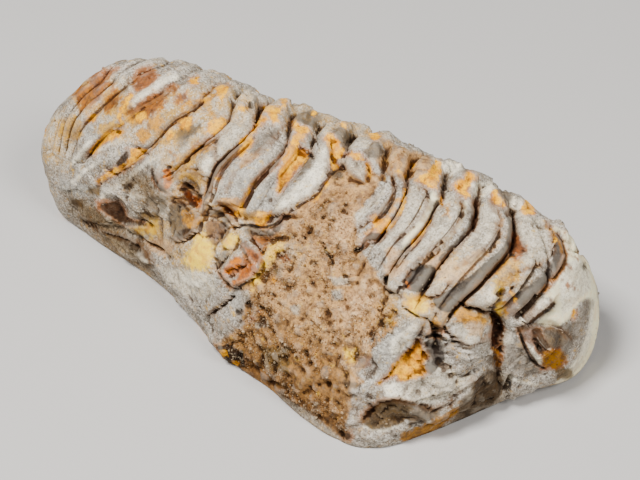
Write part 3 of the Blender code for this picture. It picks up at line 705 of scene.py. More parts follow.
# name: (half width in pixels, depth in mm, points)
CUTS = {
    "arc crack": (1.5, 0.9, ((299, 146), (304, 148), (309, 152), (314, 158))),
    "hook crack": (1.6, 0.9, ((337, 163), (342, 165), (346, 170))),
    "chip line": (1.2, 0.4, ((317, 140), (318, 146), (319, 150))),
    "gap 7 and 8": (2.4, 0.8, (
        (284, 152), (277, 161), (268, 170), (260, 178), (253, 186), (248, 197), (243, 206),
    )),
    "gap 8 and 9": (2.4, 0.8, (
        (246, 143), (237, 152), (229, 160), (222, 168), (216, 179), (212, 191), (207, 204), (202, 218),
    )),
    "gap beside rib 2": (1.8, 0.8, (
        (514, 216), (515, 240), (511, 256), (500, 267), (488, 279), (475, 291), (462, 304), (450, 316),
    )),
    "gap beside rib 3": (1.8, 0.8, ((474, 202), (477, 210), (475, 220), (474, 229))),
    "gap beside rib 4": (1.3, 0.7, ((420, 240), (411, 250), (403, 259), (396, 267))),
    "gap beside rib 1": (1.8, 0.8, (
        (558, 231), (563, 240), (566, 251), (566, 262), (558, 275), (547, 288), (534, 301), (519, 319),
    )),
    "gap in rib 5": (1.8, 0.6, ((392, 178), (394, 187), (392, 198), (387, 208), (379, 216))),
    "ochre slot": (2.0, 0.4, ((431, 219), (427, 228), (419, 239), (411, 248))),
    "hole by the foot": (2.2, 1.1, ((386, 276), (385, 284))),
    "under the foot": (1.6, 0.7, ((388, 292), (396, 291), (403, 286))),
    "shelf under ribs": (2.0, 0.9, (
        (233, 228), (241, 225), (250, 225), (258, 227), (267, 227), (276, 223), (284, 216), (294, 216),
    )),
    "low shelf": (1.6, 0.8, ((250, 241), (256, 246), (262, 253))),
    "slit": (1.8, 0.8, ((277, 254), (282, 251), (288, 249))),
    "sand crack": (1.6, 0.7, ((322, 243), (326, 251), (330, 257), (333, 264))),
    "sand crack low": (1.4, 0.6, ((344, 276), (351, 277), (358, 274), (361, 268), (365, 262))),
    "dark wedge": (2.8, 1.0, ((385, 232), (378, 240), (368, 243), (361, 249), (355, 251))),
    "wedge foot": (1.6, 0.6, ((380, 253), (373, 257), (367, 261))),
    "cheek crack": (1.3, 0.7, ((403, 307), (411, 313), (419, 317), (427, 319), (432, 325), (434, 332))),
    "twig hole": (2.4, 1.0, ((428, 338), (434, 336), (441, 338), (446, 344))),
    "twig hole side": (1.2, 0.6, ((444, 327), (447, 333))),
    "block crack": (1.1, 0.5, (
        (445, 350), (448, 358), (451, 367), (455, 374), (460, 377), (468, 376), (474, 370),
    )),
    "block crack high": (1.0, 0.4, (
        (450, 335), (457, 343), (466, 350), (471, 358), (474, 366), (477, 375),
    )),
    "flank crack": (0.9, 0.4, ((475, 380), (476, 392), (474, 406))),
    "rock gap": (2.4, 1.0, ((465, 305), (471, 309), (479, 309), (486, 313))),
    "neck gap": (3.0, 1.0, ((492, 315), (498, 320), (502, 328), (503, 336))),
    "neck hole": (2.0, 1.2, ((499, 350), (503, 350))),
    "neck notch": (3.2, 1.6, ((511, 379), (509, 386), (507, 394))),
    "bar gap": (2.0, 1.0, ((536, 299), (529, 305), (523, 312), (517, 320))),
    "under the bar": (1.6, 0.4, ((554, 304), (550, 309), (542, 314), (534, 320), (527, 326))),
    "plate gap": (1.8, 0.8, ((520, 285), (514, 288), (508, 291), (501, 294))),
    "eye pit": (3.0, 0.9, ((536, 343), (540, 350))),
    "eye groove": (1.2, 0.3, ((519, 331), (522, 340), (526, 350), (531, 359), (538, 366), (545, 369))),
    "eye arc": (1.2, -0.5, ((537, 337), (540, 342), (545, 347), (551, 350))),
    "eye blade": (2.2, -0.5, ((527, 344), (532, 350), (538, 357), (543, 361))),
    "triangle slit": (1.2, 0.6, ((513, 238), (513, 248), (514, 259))),
    "tail hole": (1.8, 0.9, ((134, 148), (137, 147))),
    "tail hole crack": (0.9, 0.5, ((137, 149), (142, 152), (147, 155))),
    "ochre slot tail": (3.2, 0.25, ((90, 153), (99, 143), (108, 135), (122, 131))),
    "ochre slot tail 2": (3.2, 0.3, ((101, 181), (112, 171), (124, 165), (134, 155), (145, 150))),
    "tail dot": (1.4, 0.5, ((116, 132), (119, 133))),
    "line ten crack": (1.1, 0.6, (
        (203, 102), (191, 111), (178, 119), (167, 127), (159, 137), (151, 148),
    )),
    "line nine crack": (1.6, 0.8, ((215, 139), (208, 144), (200, 147), (190, 155), (185, 161))),
    "behind the ledge": (1.1, 0.7, ((203, 213), (209, 208), (217, 205), (227, 211), (235, 220))),
    "under the field": (1.4, 0.8, ((179, 244), (187, 239), (195, 233), (201, 224))),
    "over the block": (1.2, 0.7, ((236, 247), (230, 253), (223, 261), (218, 267))),
    "block ridge": (1.0, 0.6, ((247, 264), (239, 270), (230, 278))),
    "chip edge": (1.0, 0.5, ((222, 249), (230, 250), (237, 244), (239, 236))),
    "red plate edge": (1.0, 0.7, (
        (252, 238), (257, 248), (263, 255), (266, 249), (273, 242), (280, 235),
    )),
    "hook": (1.8, 1.1, ((161, 171), (164, 168), (168, 167))),
    "arch": (2.0, 1.2, ((182, 187), (187, 185), (192, 189))),
    "brown streak": (1.8, 0.6, ((148, 243), (156, 247), (164, 252))),
    "green streak": (1.4, 0.4, ((162, 258), (168, 259), (174, 257))),
    "dark tail streak": (2.4, 0.8, ((127, 220), (136, 222), (145, 222), (151, 227))),
    "block groove": (2.0, 0.8, ((216, 262), (219, 272), (224, 280), (230, 287))),
    "foot groove": (1.8, 0.8, ((230, 297), (224, 303), (217, 308), (211, 313))),
    "red line": (1.3, 0.5, ((218, 203), (225, 207), (231, 213), (235, 220), (237, 226))),
    "grey line": (1.5, 0.6, ((222, 214), (227, 221), (232, 228))),
    "block slit": (1.0, 0.5, ((240, 248), (244, 256), (250, 265))),
    "ring hole": (4.0, 1.2, ((249, 103), (250, 106))),
    "under ring 6": (2.0, 0.7, ((442, 186), (449, 189), (456, 188))),
    "white ridge": (3.0, -0.5, ((178, 79), (166, 82), (156, 89), (146, 95), (138, 102), (131, 107))),
    "pale ridge": (2.4, -0.4, ((92, 143), (84, 151), (77, 160), (72, 169))),
    "pale ridge high": (2.0, -0.3, ((128, 84), (133, 90), (138, 94))),
    "low ridge": (2.4, -0.2, ((114, 243), (125, 250), (137, 256), (148, 262))),
    "low groove": (3.0, 0.2, ((108, 236), (118, 237), (128, 242), (140, 248), (150, 260))),
    "tail crease": (2.4, 0.4, ((75, 112), (86, 98), (96, 86), (108, 74), (122, 66))),
    "tail crease 2": (2.4, 0.4, ((66, 150), (72, 138), (80, 127), (92, 116), (104, 108), (116, 104))),
}
# name: (height in mm, softness in pixels, corners)
PLATES = {
    "grey lump": (0.5, 2.0, ((154, 172), (160, 169), (166, 174), (168, 184), (163, 190), (156, 185))),
    "dark pit": (-0.4, 3.0, (
        (100, 206), (109, 201), (119, 203), (125, 209), (127, 218), (120, 222), (108, 217), (103, 211),
    )),
    "rib 3 low band": (-0.4, 1.2, (
        (436, 266), (434, 277), (429, 288), (421, 294), (409, 291), (402, 286), (405, 277), (412, 270),
        (424, 265),
    )),
    "yellow chip": (0.4, 1.2, ((222, 241), (228, 234), (236, 236), (236, 243), (230, 249), (224, 247))),
    "flake": (0.5, 1.0, ((238, 238), (240, 232), (249, 231), (251, 236), (244, 240))),
    "dark red plate": (0.4, 1.0, (
        (253, 237), (262, 238), (272, 236), (278, 235), (271, 241), (266, 246), (263, 252), (258, 246),
    )),
    "cream rock": (0.5, 1.4, (
        (263, 262), (265, 254), (270, 246), (278, 241), (284, 246), (283, 251), (276, 255), (270, 262),
        (266, 270),
    )),
    "mauve face": (-0.3, 1.5, (
        (207, 220), (216, 219), (226, 226), (230, 232), (224, 240), (214, 246), (206, 236),
    )),
    "orange wedge": (-0.5, 1.5, ((182, 188), (192, 192), (202, 198), (202, 206), (197, 211), (189, 202))),
    "orange wall": (-0.5, 1.5, ((163, 172), (168, 167), (172, 172), (172, 190), (169, 196), (164, 188))),
    "ochre valley": (-0.5, 2.0, (
        (298, 148), (308, 153), (303, 163), (292, 176), (283, 188), (278, 193), (278, 178), (284, 164),
        (287, 150),
    )),
    "ochre by ring 3": (-0.5, 1.5, (
        (326, 135), (336, 135), (340, 147), (343, 155), (335, 163), (330, 158), (331, 146),
    )),
    "ochre by ring 6": (-0.5, 1.5, (
        (437, 161), (441, 170), (438, 188), (431, 187), (420, 178), (430, 171),
    )),
    "ochre by ring 7": (-0.5, 1.5, (
        (454, 184), (465, 176), (474, 175), (470, 186), (469, 195), (461, 193),
    )),
    "ochre by ring 8": (-0.5, 1.5, ((493, 192), (500, 198), (505, 206), (497, 205), (491, 199))),
    "cheek hollow": (-0.5, 2.0, (
        (418, 344), (428, 358), (423, 363), (426, 373), (410, 378), (396, 375), (402, 360), (411, 350),
    )),
    "brown face": (-0.25, 2.0, (
        (364, 417), (374, 407), (386, 401), (404, 403), (412, 410), (403, 422), (385, 428), (368, 426),
    )),
    "triangle hollow": (-0.4, 1.5, ((514, 236), (521, 242), (526, 250), (519, 258), (515, 258))),
    "brown lens": (-0.7, 1.5, ((244, 304), (248, 300), (252, 303), (252, 308), (247, 309))),
    "red shard": (0.5, 1.0, ((247, 321), (252, 316), (262, 311), (256, 318), (251, 323))),
    "fleck": (0.4, 1.2, ((332, 278), (346, 278), (350, 284), (338, 285))),
    "grey nodule": (0.5, 2.0, ((333, 291), (342, 291), (343, 299), (334, 300))),
    "cream nodule": (0.4, 2.0, ((331, 309), (345, 307), (348, 318), (336, 320))),
}
# Holes in the sand: where they are, their radius in pixels and depth in mm
PITS = (
    (311, 284, 2.2, 0.8), (305, 287, 2.2, 0.8), (318, 296, 1.6, 0.6), (324, 292, 1.6, 0.6),
    (302, 296, 1.6, 0.6), (319, 300, 1.6, 0.6), (319, 319, 2.0, 0.7), (330, 324, 3.0, 0.9),
    (332, 338, 2.2, 0.7), (320, 341, 2.2, 0.7), (296, 351, 1.8, 0.7), (306, 355, 3.6, 0.9),
    (284, 358, 3.0, 0.8), (303, 370, 2.6, 0.8), (310, 363, 2.6, 0.8), (309, 391, 4.2, 1.2),
    (302, 394, 2.4, 0.9), (328, 385, 3.6, 1.0), (338, 391, 3.0, 1.0), (318, 386, 2.6, 0.9),
    (272, 383, 3.4, 0.9), (278, 386, 2.4, 0.8), (326, 402, 2.2, 0.8), (312, 405, 2.2, 0.8),
    (345, 277, 2.0, 0.8), (357, 283, 2.6, 0.9), (336, 298, 1.8, 0.6), (364, 202, 3.2, 0.9),
    (345, 204, 2.0, 0.8), (342, 210, 1.8, 0.6), (346, 213, 1.6, 0.6), (333, 220, 2.0, 0.8),
    (330, 201, 1.8, 0.8), (322, 217, 1.8, 0.7), (305, 238, 1.8, 0.7), (308, 248, 1.8, 0.8),
    (302, 254, 1.8, 0.8), (295, 258, 1.8, 0.7), (285, 218, 2.4, 0.9), (293, 216, 2.0, 0.8),
    (301, 225, 2.2, 0.8), (262, 282, 1.6, 0.6), (285, 348, 1.6, 0.6), (239, 312, 2.8, 0.9),
    (340, 436, 4.0, 0.9), (384, 278, 2.4, 0.8), (345, 300, 1.6, 0.5), (326, 287, 1.8, 0.6),
    (371, 338, 1.6, 0.5), (354, 354, 2.0, 0.5), (394, 253, 1.6, 0.5), (503, 227, 1.6, 0.6),
    (495, 246, 1.8, 0.6), (501, 247, 1.8, 0.6), (490, 251, 1.6, 0.5), (463, 271, 1.8, 0.6),
    (457, 274, 1.4, 0.5), (442, 262, 1.8, 0.6), (440, 269, 1.6, 0.6), (496, 272, 1.6, 0.6),
    (584, 266, 2.6, 0.4), (270, 200, 2.6, 0.5), (324, 167, 1.2, 0.3), (294, 156, 1.8, 0.5),
    (288, 149, 1.8, 0.4),
)

# %% [markdown]
# ## The skin as a mesh
# A UV sphere gives rows from tail to head and columns round the stone. More of them go where the
# picture looks: the near flank, the back and the face. Each point is pushed out by the relief.

# %% Skin
TAIL_ROWS, HEAD_ROWS, COLUMNS = 40, 85, 310
ROW_SHARES = (0, 0.03, 0.07, 0.13, 0.20, 0.29, 0.38, 0.47, 0.55, 0.60, 0.66, 0.74, 0.84, 0.92, 0.97)
HEAD_ROW_STOPS = ((0, 0), (0.85, 0.7), (1, 1))
ROUND_STOPS = ((0, -180), (0.07, -100), (0.13, -48), (0.92, 128), (1, 180))


def steady(corners):
    """A face's corners in the same turn, from the lowest number on."""
    first = corners.index(min(corners))
    return corners[first:] + corners[:first]


def ball_points():
    """A ball's mesh, and how far along the stone and round it each of its points belongs."""
    rows = row_places(TAIL_ROWS, ROW_SHARES, HEAD_ROWS)
    ball = bmesh.new()
    bmesh.ops.create_uvsphere(ball, u_segments=COLUMNS, v_segments=len(rows) - 1, radius=1.0)
    ball.verts.index_update()
    points = np.array([corner.co for corner in ball.verts])
    # A sphere's faces come in no fixed order, and the scatter of crumbs needs one
    faces = sorted(steady([corner.index for corner in face.verts]) for face in ball.faces)
    ball.free()
    mesh = bpy.data.meshes.new("fossil_skin")
    mesh.from_pydata(points, [], faces)
    up = 0.5 + np.arcsin(np.clip(points[:, 2], -1, 1)) / np.pi
    round_pole = (np.arctan2(points[:, 1], points[:, 0]) / (2 * np.pi)) % 1.0
    along = np.interp(up * (len(rows) - 1), np.arange(len(rows)), rows)
    return mesh, along, share_of(round_pole, ROUND_STOPS)


def in_frame(p):
    """From the drawing's millimetres to the part's own place, in metres."""
    moved = p.copy()
    moved[:, 2] = np.maximum(moved[:, 2] - BASE_CUT, 0)
    moved[:, :2] -= BOX_MIDDLE
    return moved * MM


skin_mesh, along, angle = ball_points()
bare = bare_point(along, angle)
away = outward(bare)
form = bare + away * relief(bare)[:, None]
print("skin points", len(form))

# %% [markdown]
# ## Pushing the drawn edges into the skin
# Every skin point has a spot in the picture. Points that face the camera and lie near a drawn
# line move out or in along their own outward direction, so the drawing becomes real relief and
# keeps its shape from every side. Points that face away get none of it.

# %% Drawn relief
FADE_FROM, FADE_TO = 0.05, 0.30
# How many of its own widths away a mark still counts
LINE_MARGIN, PLATE_MARGIN = 4, 3
GRAIN_SIZE, GRAIN_SEED = 1.4, 21
GRAIN_HEIGHT, SAND_GRAIN_HEIGHT = 0.06, 0.55
SMALL_CHIP_SIZE, SMALL_CHIP_HEIGHT, SMALL_CHIP_SEED = 2.2, 0.30, 31
# Small chips break the flanks from these turns down and the rings up to these, less in sand and
# hardly on the shell, and they fade out towards the tail between two x
FLANK_BREAK, RING_BREAK, TAIL_BREAK = (44, 60), (5, 9), (-46, -30)
BREAK_LOST_IN_SAND, BREAK_ON_RINGS, BREAK_LOST_ON_SHELL = 0.6, 0.7, 0.9
GRAIN_LOW, GRAIN_HIGH = 0.5, 3.0


def box_of(places, points, margin):
    """Which places lie in the box round some points, with a margin."""
    low, high = points.min(0) - margin, points.max(0) + margin
    return np.flatnonzero(((places > low) & (places < high)).all(-1))


def from_line(places, points):
    """Distance from a bent line in pixels, and on which hand: 1 right, -1 left."""
    best = np.full(len(places), np.inf)
    hand = np.ones(len(places))
    for a, b in zip(points[:-1], points[1:]):
        run, off = b - a, places - a
        f = np.clip((off @ run) / (run @ run), 0, 1)
        gap = np.linalg.norm(off - f[:, None] * run, axis=-1)
        hand = np.where(gap < best, np.sign(run[0] * off[:, 1] - run[1] * off[:, 0]), hand)
        best = np.minimum(best, gap)
    return best, hand


def inside_area(places, corners):
    """Distance in pixels inside an outline, below zero outside it."""
    best = np.full(len(places), np.inf)
    crossed = np.zeros(len(places), bool)
    for a, b in zip(corners, np.roll(corners, -1, 0)):
        run, off = b - a, places - a
        f = np.clip((off @ run) / (run @ run), 0, 1)
        best = np.minimum(best, np.linalg.norm(off - f[:, None] * run, axis=-1))
        if a[1] != b[1]:
            cut = a[0] + off[:, 1] / run[1] * run[0]
            crossed ^= ((a[1] > places[:, 1]) != (b[1] > places[:, 1])) & (places[:, 0] < cut)
    return np.where(crossed, best, -best)


def drawn_relief(places):
    """Height in mm of the drawn steps, cuts, plates and pits at some picture spots."""
    height = np.zeros(len(places))
    for tall, drop, reach, line in STEPS.values():
        points = np.array(line, float)
        near = box_of(places, points, LINE_MARGIN * reach)
        gap, hand = from_line(places[near], points)
        height[near] += np.where(hand > 0, tall, -drop) * np.exp(-gap / reach)
    for half_width, deep, line in CUTS.values():
        points = np.array(line, float)
        near = box_of(places, points, LINE_MARGIN * half_width)
        gap, _ = from_line(places[near], points)
        height[near] -= deep * np.exp(-((gap / half_width) ** 2))
    for tall, soft, corners in PLATES.values():
        points = np.array(corners, float)
        near = box_of(places, points, PLATE_MARGIN * soft)
        height[near] += tall * smooth(inside_area(places[near], points), -soft, soft)
    for across, down, radius, deep in PITS:
        gap = np.hypot(places[:, 0] - across, places[:, 1] - down)
        height -= deep * np.exp(-((gap / radius) ** 2))
    return height


places = picture_spot(in_frame(form))
faces_camera = smooth(away @ to_camera, FADE_FROM, FADE_TO)
skin = form + away * (drawn_relief(places) * faces_camera)[:, None]
bare_x, bare_turn = bare[:, 0], turned(angle_of(bare))
_, sandy = animal(bare, angle_of(bare))
grain = (GRAIN_HEIGHT + SAND_GRAIN_HEIGHT * sandy) * rough(form, GRAIN_SIZE, GRAIN_SEED, 2)
flank = smooth(bare_turn, *FLANK_BREAK) * (1 - BREAK_LOST_IN_SAND * sandy)
broken = np.maximum(flank, BREAK_ON_RINGS * (1 - smooth(bare_turn, *RING_BREAK)))
broken = broken * (1 - BREAK_LOST_ON_SHELL * smooth(bare_x, SHELL_FROM, SHELL_TO))
broken = broken * smooth(bare_x, *TAIL_BREAK)
chips = SMALL_CHIP_HEIGHT * facets(form, SMALL_CHIP_SIZE, SMALL_CHIP_SEED) * broken
skin = skin + away * ((grain + chips) * smooth(form[:, 2], GRAIN_LOW, GRAIN_HIGH))[:, None]
places = picture_spot(in_frame(skin))
skin_mesh.vertices.foreach_set("co", in_frame(skin).ravel())
skin_mesh.update()
skin_mesh.shade_smooth()
stone = bpy.data.objects.new("fossil_skin", skin_mesh)
bpy.context.scene.collection.objects.link(stone)
print("drawn relief on", int((faces_camera > 0).sum()), "points")

# %% [markdown]
# ## Stains, drawn in the picture
# Iron in the water left ochre, rust and umber in the gaps, the shell itself is cream or dark, and the sand is
# brown. Some kinds are painted light and shade instead: black paints shade in cracks, holes and under ledges,
# grey brown partly paints shaded faces, brown ochre is darker as painted shade on the underside, shade
# darkens the lower flank, and the shell is painted lighter where the lamps leave it dim. Colour like this
# follows no rule, so each stain is an outline of picture spots, or a line with a half width in pixels. The
# skin keeps how deep each of its points lies inside a stain, and the material turns that depth into a ragged
# edge.

# %% Stains
# kind of stain or painted light and shade: (half width in pixels, or 0 for an outline, points)
STAINS = {
    "ochre": (
        (0, (
            (88, 153), (92, 148), (98, 141), (103, 134), (108, 131), (124, 129), (125, 132), (118, 137),
            (105, 143), (93, 155),
        )),
        (0, (
            (127, 149), (133, 148), (144, 148), (150, 149), (146, 152), (141, 158), (131, 165),
            (124, 170), (107, 178), (98, 182), (102, 176), (118, 167), (128, 160), (130, 155),
        )),
        (2, ((131, 95), (126, 103), (121, 110), (120, 118), (121, 125))),
        (0, ((191, 79), (198, 77), (197, 84), (191, 85))),
        (0, ((215, 88), (220, 86), (229, 86), (228, 90), (222, 100), (218, 99))),
        (0, ((201, 99), (206, 96), (208, 99), (206, 103), (202, 103))),
        (0, ((238, 107), (243, 104), (247, 109), (242, 111))),
        (0, (
            (206, 130), (208, 123), (214, 121), (222, 116), (227, 120), (224, 127), (218, 131),
            (213, 136), (207, 134),
        )),
        (0, ((178, 122), (186, 118), (193, 118), (190, 124), (184, 128))),
        (0, ((164, 131), (171, 131), (174, 136), (170, 140), (165, 139))),
        (0, ((240, 139), (248, 136), (254, 140), (252, 146), (246, 150), (243, 158), (239, 156))),
        (0, ((262, 115), (264, 121), (258, 127), (254, 134), (250, 137), (252, 130), (257, 122))),
        (0, (
            (262, 108), (270, 106), (280, 108), (282, 110), (278, 114), (278, 121), (274, 123),
            (271, 118), (266, 112),
        )),
        (0, ((260, 116), (272, 118), (266, 121), (262, 125))),
        (0, ((281, 99), (286, 98), (288, 102), (286, 107), (282, 106))),
        (1.2, ((315, 108), (313, 117))),
        (0, (
            (291, 121), (296, 121), (300, 125), (308, 126), (310, 131), (305, 135), (303, 139),
            (299, 139), (296, 145), (299, 149), (305, 149), (309, 154), (308, 158), (303, 163),
            (298, 168), (292, 175), (287, 182), (283, 188), (278, 194), (276, 191), (277, 185),
            (279, 170), (283, 164), (281, 157), (286, 155), (288, 148), (293, 137), (297, 133),
            (293, 126),
        )),
        (0, (
            (323, 138), (327, 134), (334, 134), (338, 138), (340, 146), (344, 150), (343, 157),
            (336, 160), (337, 163), (340, 168), (334, 170), (329, 165), (330, 158), (330, 150),
            (327, 144),
        )),
        (0, ((341, 122), (346, 122), (348, 127), (344, 130))),
        (0, ((346, 155), (352, 153), (360, 153), (363, 157), (362, 160), (355, 159))),
        (0, ((366, 160), (370, 165), (371, 175), (367, 182), (365, 176), (366, 168))),
        (0, ((368, 131), (374, 131), (380, 136), (379, 140), (373, 140))),
        (0, ((324, 184), (328, 181), (329, 186), (326, 188))),
        (0, ((310, 202), (314, 199), (320, 196), (318, 200), (312, 204))),
        (0, ((391, 170), (398, 169), (404, 172), (407, 178), (404, 178), (400, 173))),
        (0, ((407, 164), (413, 163), (417, 165), (413, 168))),
        (0, (
            (436, 160), (441, 163), (441, 172), (438, 180), (438, 188), (433, 189), (425, 184),
            (416, 181), (420, 174), (428, 171), (434, 164),
        )),
        (0, (
            (452, 184), (458, 181), (464, 180), (465, 175), (469, 171), (474, 174), (478, 180),
            (472, 180), (470, 186), (467, 191), (470, 196), (466, 198), (460, 194),
        )),
        (0, ((491, 197), (493, 191), (496, 191), (500, 197), (506, 206), (503, 207), (494, 203))),
        (0, ((525, 200), (531, 201), (534, 208), (534, 214), (524, 214), (520, 210))),
        (0, ((545, 224), (551, 228), (555, 233), (557, 240), (555, 243), (552, 238), (549, 231))),
        (1.8, ((250, 190), (247, 198), (242, 205), (240, 211), (236, 214))),
        (1.3, ((441, 198), (442, 205))),
        (0, (
            (431, 219), (429, 225), (424, 232), (420, 238), (414, 246), (410, 247), (412, 242),
            (418, 234), (424, 226),
        )),
        (0, (
            (371, 217), (376, 214), (379, 219), (385, 218), (390, 217), (390, 228), (383, 233),
            (376, 232), (373, 226),
        )),
        (1.5, ((405, 190), (404, 203), (399, 215), (391, 227))),
        (0, (
            (419, 340), (421, 347), (423, 352), (429, 357), (424, 361), (423, 365), (428, 374),
            (420, 377), (410, 379), (402, 382), (399, 379), (397, 375), (390, 378), (378, 383),
            (384, 379), (393, 368), (392, 364), (397, 362), (402, 356), (413, 346),
        )),
        (0, ((252, 217), (260, 213), (270, 212), (272, 216), (267, 222), (262, 228), (256, 224))),
        (0, ((220, 350), (228, 350), (228, 356), (221, 356))),
        (0, ((232, 360), (240, 361), (239, 366), (233, 365))),
        (0, ((573, 305), (576, 313), (574, 319), (571, 315))),
        (0, ((270, 277), (278, 277), (277, 283), (271, 283))),
        (0, ((133, 112), (146, 112), (145, 119), (140, 123), (135, 118))),
        (0, ((86, 114), (97, 114), (96, 121), (88, 122))),
        (0, ((214, 177), (221, 177), (220, 183), (215, 183))),
        (1.3, ((215, 184), (215, 188))),
        (1.2, ((511, 293), (515, 297), (516, 303))),
    ),
    "rust": (
        (0, ((228, 264), (234, 258), (242, 256), (249, 262), (245, 270), (236, 276), (227, 274))),
        (0, ((92, 74), (104, 70), (108, 84), (102, 98), (92, 108), (86, 104), (86, 88))),
        (0, ((136, 70), (150, 66), (157, 76), (150, 86), (138, 92), (134, 84))),
        (0, ((136, 104), (150, 94), (162, 92), (166, 102), (156, 114), (142, 118), (132, 114))),
        (0, (
            (252, 236), (262, 237), (270, 236), (279, 234), (273, 240), (268, 244), (266, 249),
            (262, 254), (258, 248),
        )),
        (0, ((245, 250), (252, 250), (262, 254), (264, 262), (258, 264), (250, 262))),
        (1.6, ((219, 204), (228, 209), (233, 214), (236, 222))),
        (0, ((277, 257), (284, 250), (288, 249), (286, 255), (292, 260), (284, 262))),
        (0.9, ((564, 234), (567, 244), (567, 256), (562, 268), (550, 284), (537, 298))),
        (0, ((78, 84), (84, 86), (90, 93), (89, 103), (86, 112), (81, 112), (78, 102), (74, 95))),
        (0, (
            (118, 68), (112, 72), (107, 80), (106, 90), (100, 98), (92, 100), (89, 92), (92, 83),
            (99, 76), (108, 70),
        )),
        (0, ((113, 85), (117, 90), (120, 98), (115, 106), (108, 112), (104, 110), (108, 100), (110, 92))),
        (0, (
            (141, 72), (146, 68), (152, 72), (158, 77), (155, 80), (148, 84), (140, 88), (134, 92),
            (131, 90), (137, 85), (142, 80),
        )),
        (0, (
            (160, 92), (166, 98), (163, 103), (165, 108), (158, 110), (150, 112), (145, 119), (140, 123),
            (135, 118), (128, 113), (131, 108), (140, 106), (148, 101), (154, 96),
        )),
        (0, ((166, 88), (173, 84), (178, 88), (174, 92), (167, 93))),
        (0, ((175, 96), (186, 92), (188, 98), (180, 104), (174, 102))),
        (0, (
            (205, 138), (212, 139), (208, 144), (200, 148), (193, 152), (188, 158), (184, 160),
            (188, 152), (194, 146), (199, 142),
        )),
        (0, ((246, 321), (252, 316), (258, 311), (263, 312), (256, 318), (250, 323))),
        (1.6, ((218, 203), (225, 207), (230, 212), (233, 218), (235, 226))),
        (0, ((513, 232), (517, 236), (521, 241), (527, 250), (521, 257), (514, 260), (512, 250))),
        (1.5, ((491, 335), (497, 345), (500, 355), (499, 362))),
        (1.0, ((430, 333), (440, 334), (436, 336), (442, 332))),
        (0, (
            (545, 352), (552, 350), (560, 348), (562, 352), (558, 358), (565, 362), (560, 366),
            (548, 368), (540, 370), (543, 364), (546, 358),
        )),
        (1.5, ((567, 266), (571, 270))),
        (1.6, ((563, 281), (569, 286), (574, 289))),
        (1.2, ((576, 257), (576, 258))),
        (1.2, ((408, 284), (408, 286))),
        (0, ((97, 201), (108, 202), (106, 210), (99, 209))),
    ),
    "umber": (
        (1.5, ((171, 196), (180, 200), (186, 208), (192, 214))),
        (0, ((176, 184), (184, 184), (188, 190), (182, 192), (176, 190))),
        (1.6, ((178, 242), (188, 236), (196, 229), (201, 220))),
        (1.4, ((203, 214), (212, 216), (222, 222), (230, 228))),
        (1.2, ((217, 268), (222, 276), (230, 286))),
        (1.6, ((152, 170), (155, 180), (162, 190), (170, 195))),
        (0, ((492, 316), (498, 318), (503, 326), (503, 336), (499, 334), (494, 324))),
        (0, ((499, 347), (504, 347), (504, 353), (499, 353))),
        (0, (
            (243, 143), (238, 144), (231, 149), (224, 155), (217, 162), (212, 170), (208, 180),
            (206, 190), (204, 201), (202, 216), (206, 210), (210, 201), (213, 192), (214, 182),
            (218, 174), (226, 166), (231, 159), (238, 152), (244, 147),
        )),
        (0, (
            (282, 156), (275, 160), (268, 166), (261, 173), (255, 180), (251, 186), (257, 183),
            (264, 178), (271, 171), (278, 165), (281, 160),
        )),
        (0, ((178, 230), (188, 228), (194, 230), (188, 236), (180, 242), (176, 238))),
        (1.1, (
            (513, 240), (510, 254), (501, 264), (491, 275), (480, 284), (472, 293), (463, 301),
            (455, 309),
        )),
        (1.1, (
            (558, 233), (562, 241), (564, 250), (564, 260), (561, 268), (556, 276), (548, 286),
            (540, 295),
        )),
        (0, ((531, 328), (540, 328), (544, 338), (550, 347), (545, 352), (538, 344), (532, 338))),
        (0, ((244, 305), (248, 300), (252, 303), (253, 307), (247, 309))),
        (1.0, ((242, 248), (247, 256), (251, 263))),
        (1.4, ((265, 233), (274, 228), (284, 218), (293, 216))),
        (0, (
            (98, 207), (104, 202), (118, 202), (123, 207), (127, 218), (135, 221), (143, 221), (149, 226),
            (140, 226), (127, 226), (113, 218), (104, 212),
        )),
        (1.6, ((362, 417), (370, 409), (380, 402), (394, 400), (412, 403))),
        (0, ((215, 345), (228, 344), (243, 352), (245, 366), (238, 368), (226, 360))),
        (0, ((127, 149), (129, 156), (126, 163), (118, 168), (115, 165), (118, 160), (123, 154))),
        (0, (
            (371, 231), (366, 236), (361, 243), (356, 251), (363, 248), (370, 241), (378, 241),
            (385, 237), (385, 232), (376, 233),
        )),
        (0, (
            (250, 230), (262, 230), (270, 232), (280, 222), (283, 225), (279, 232), (272, 236),
            (262, 236), (252, 236),
        )),
        (0, ((431, 322), (440, 326), (445, 328), (441, 337), (430, 337))),
        (0, ((340, 432), (352, 433), (352, 440), (342, 440))),
        (1.6, ((474, 203), (476, 210), (474, 220), (475, 228))),
        (0, ((533, 343), (538, 342), (545, 350), (543, 356), (538, 354))),
        (1.6, ((494, 322), (496, 334), (497, 346))),
        (1.2, ((519, 329), (523, 340), (529, 352), (537, 364))),
    ),
    # painted shade: black in cracks, holes and gaps, and under ledges and bars, where shade falls
    "black shade": (
        (1.6, ((493, 316), (498, 320), (501, 328), (502, 335))),
        (1.5, ((206, 196), (204, 206), (203, 214))),
        (0.9, ((242, 145), (234, 151), (226, 158), (218, 166), (212, 177), (208, 190), (205, 204))),
        (0.9, ((280, 158), (270, 166), (262, 174), (255, 182))),
        (1.5, ((236, 226), (243, 225), (250, 225), (258, 228))),
        (0.7, ((497, 211), (500, 219), (498, 229), (493, 239), (485, 248), (475, 255), (463, 262))),
        (0.7, ((459, 199), (462, 207), (460, 217), (456, 226), (450, 234), (443, 242), (434, 249))),
        (0.8, ((421, 186), (427, 192), (428, 200), (427, 207), (424, 215), (418, 222), (411, 228))),
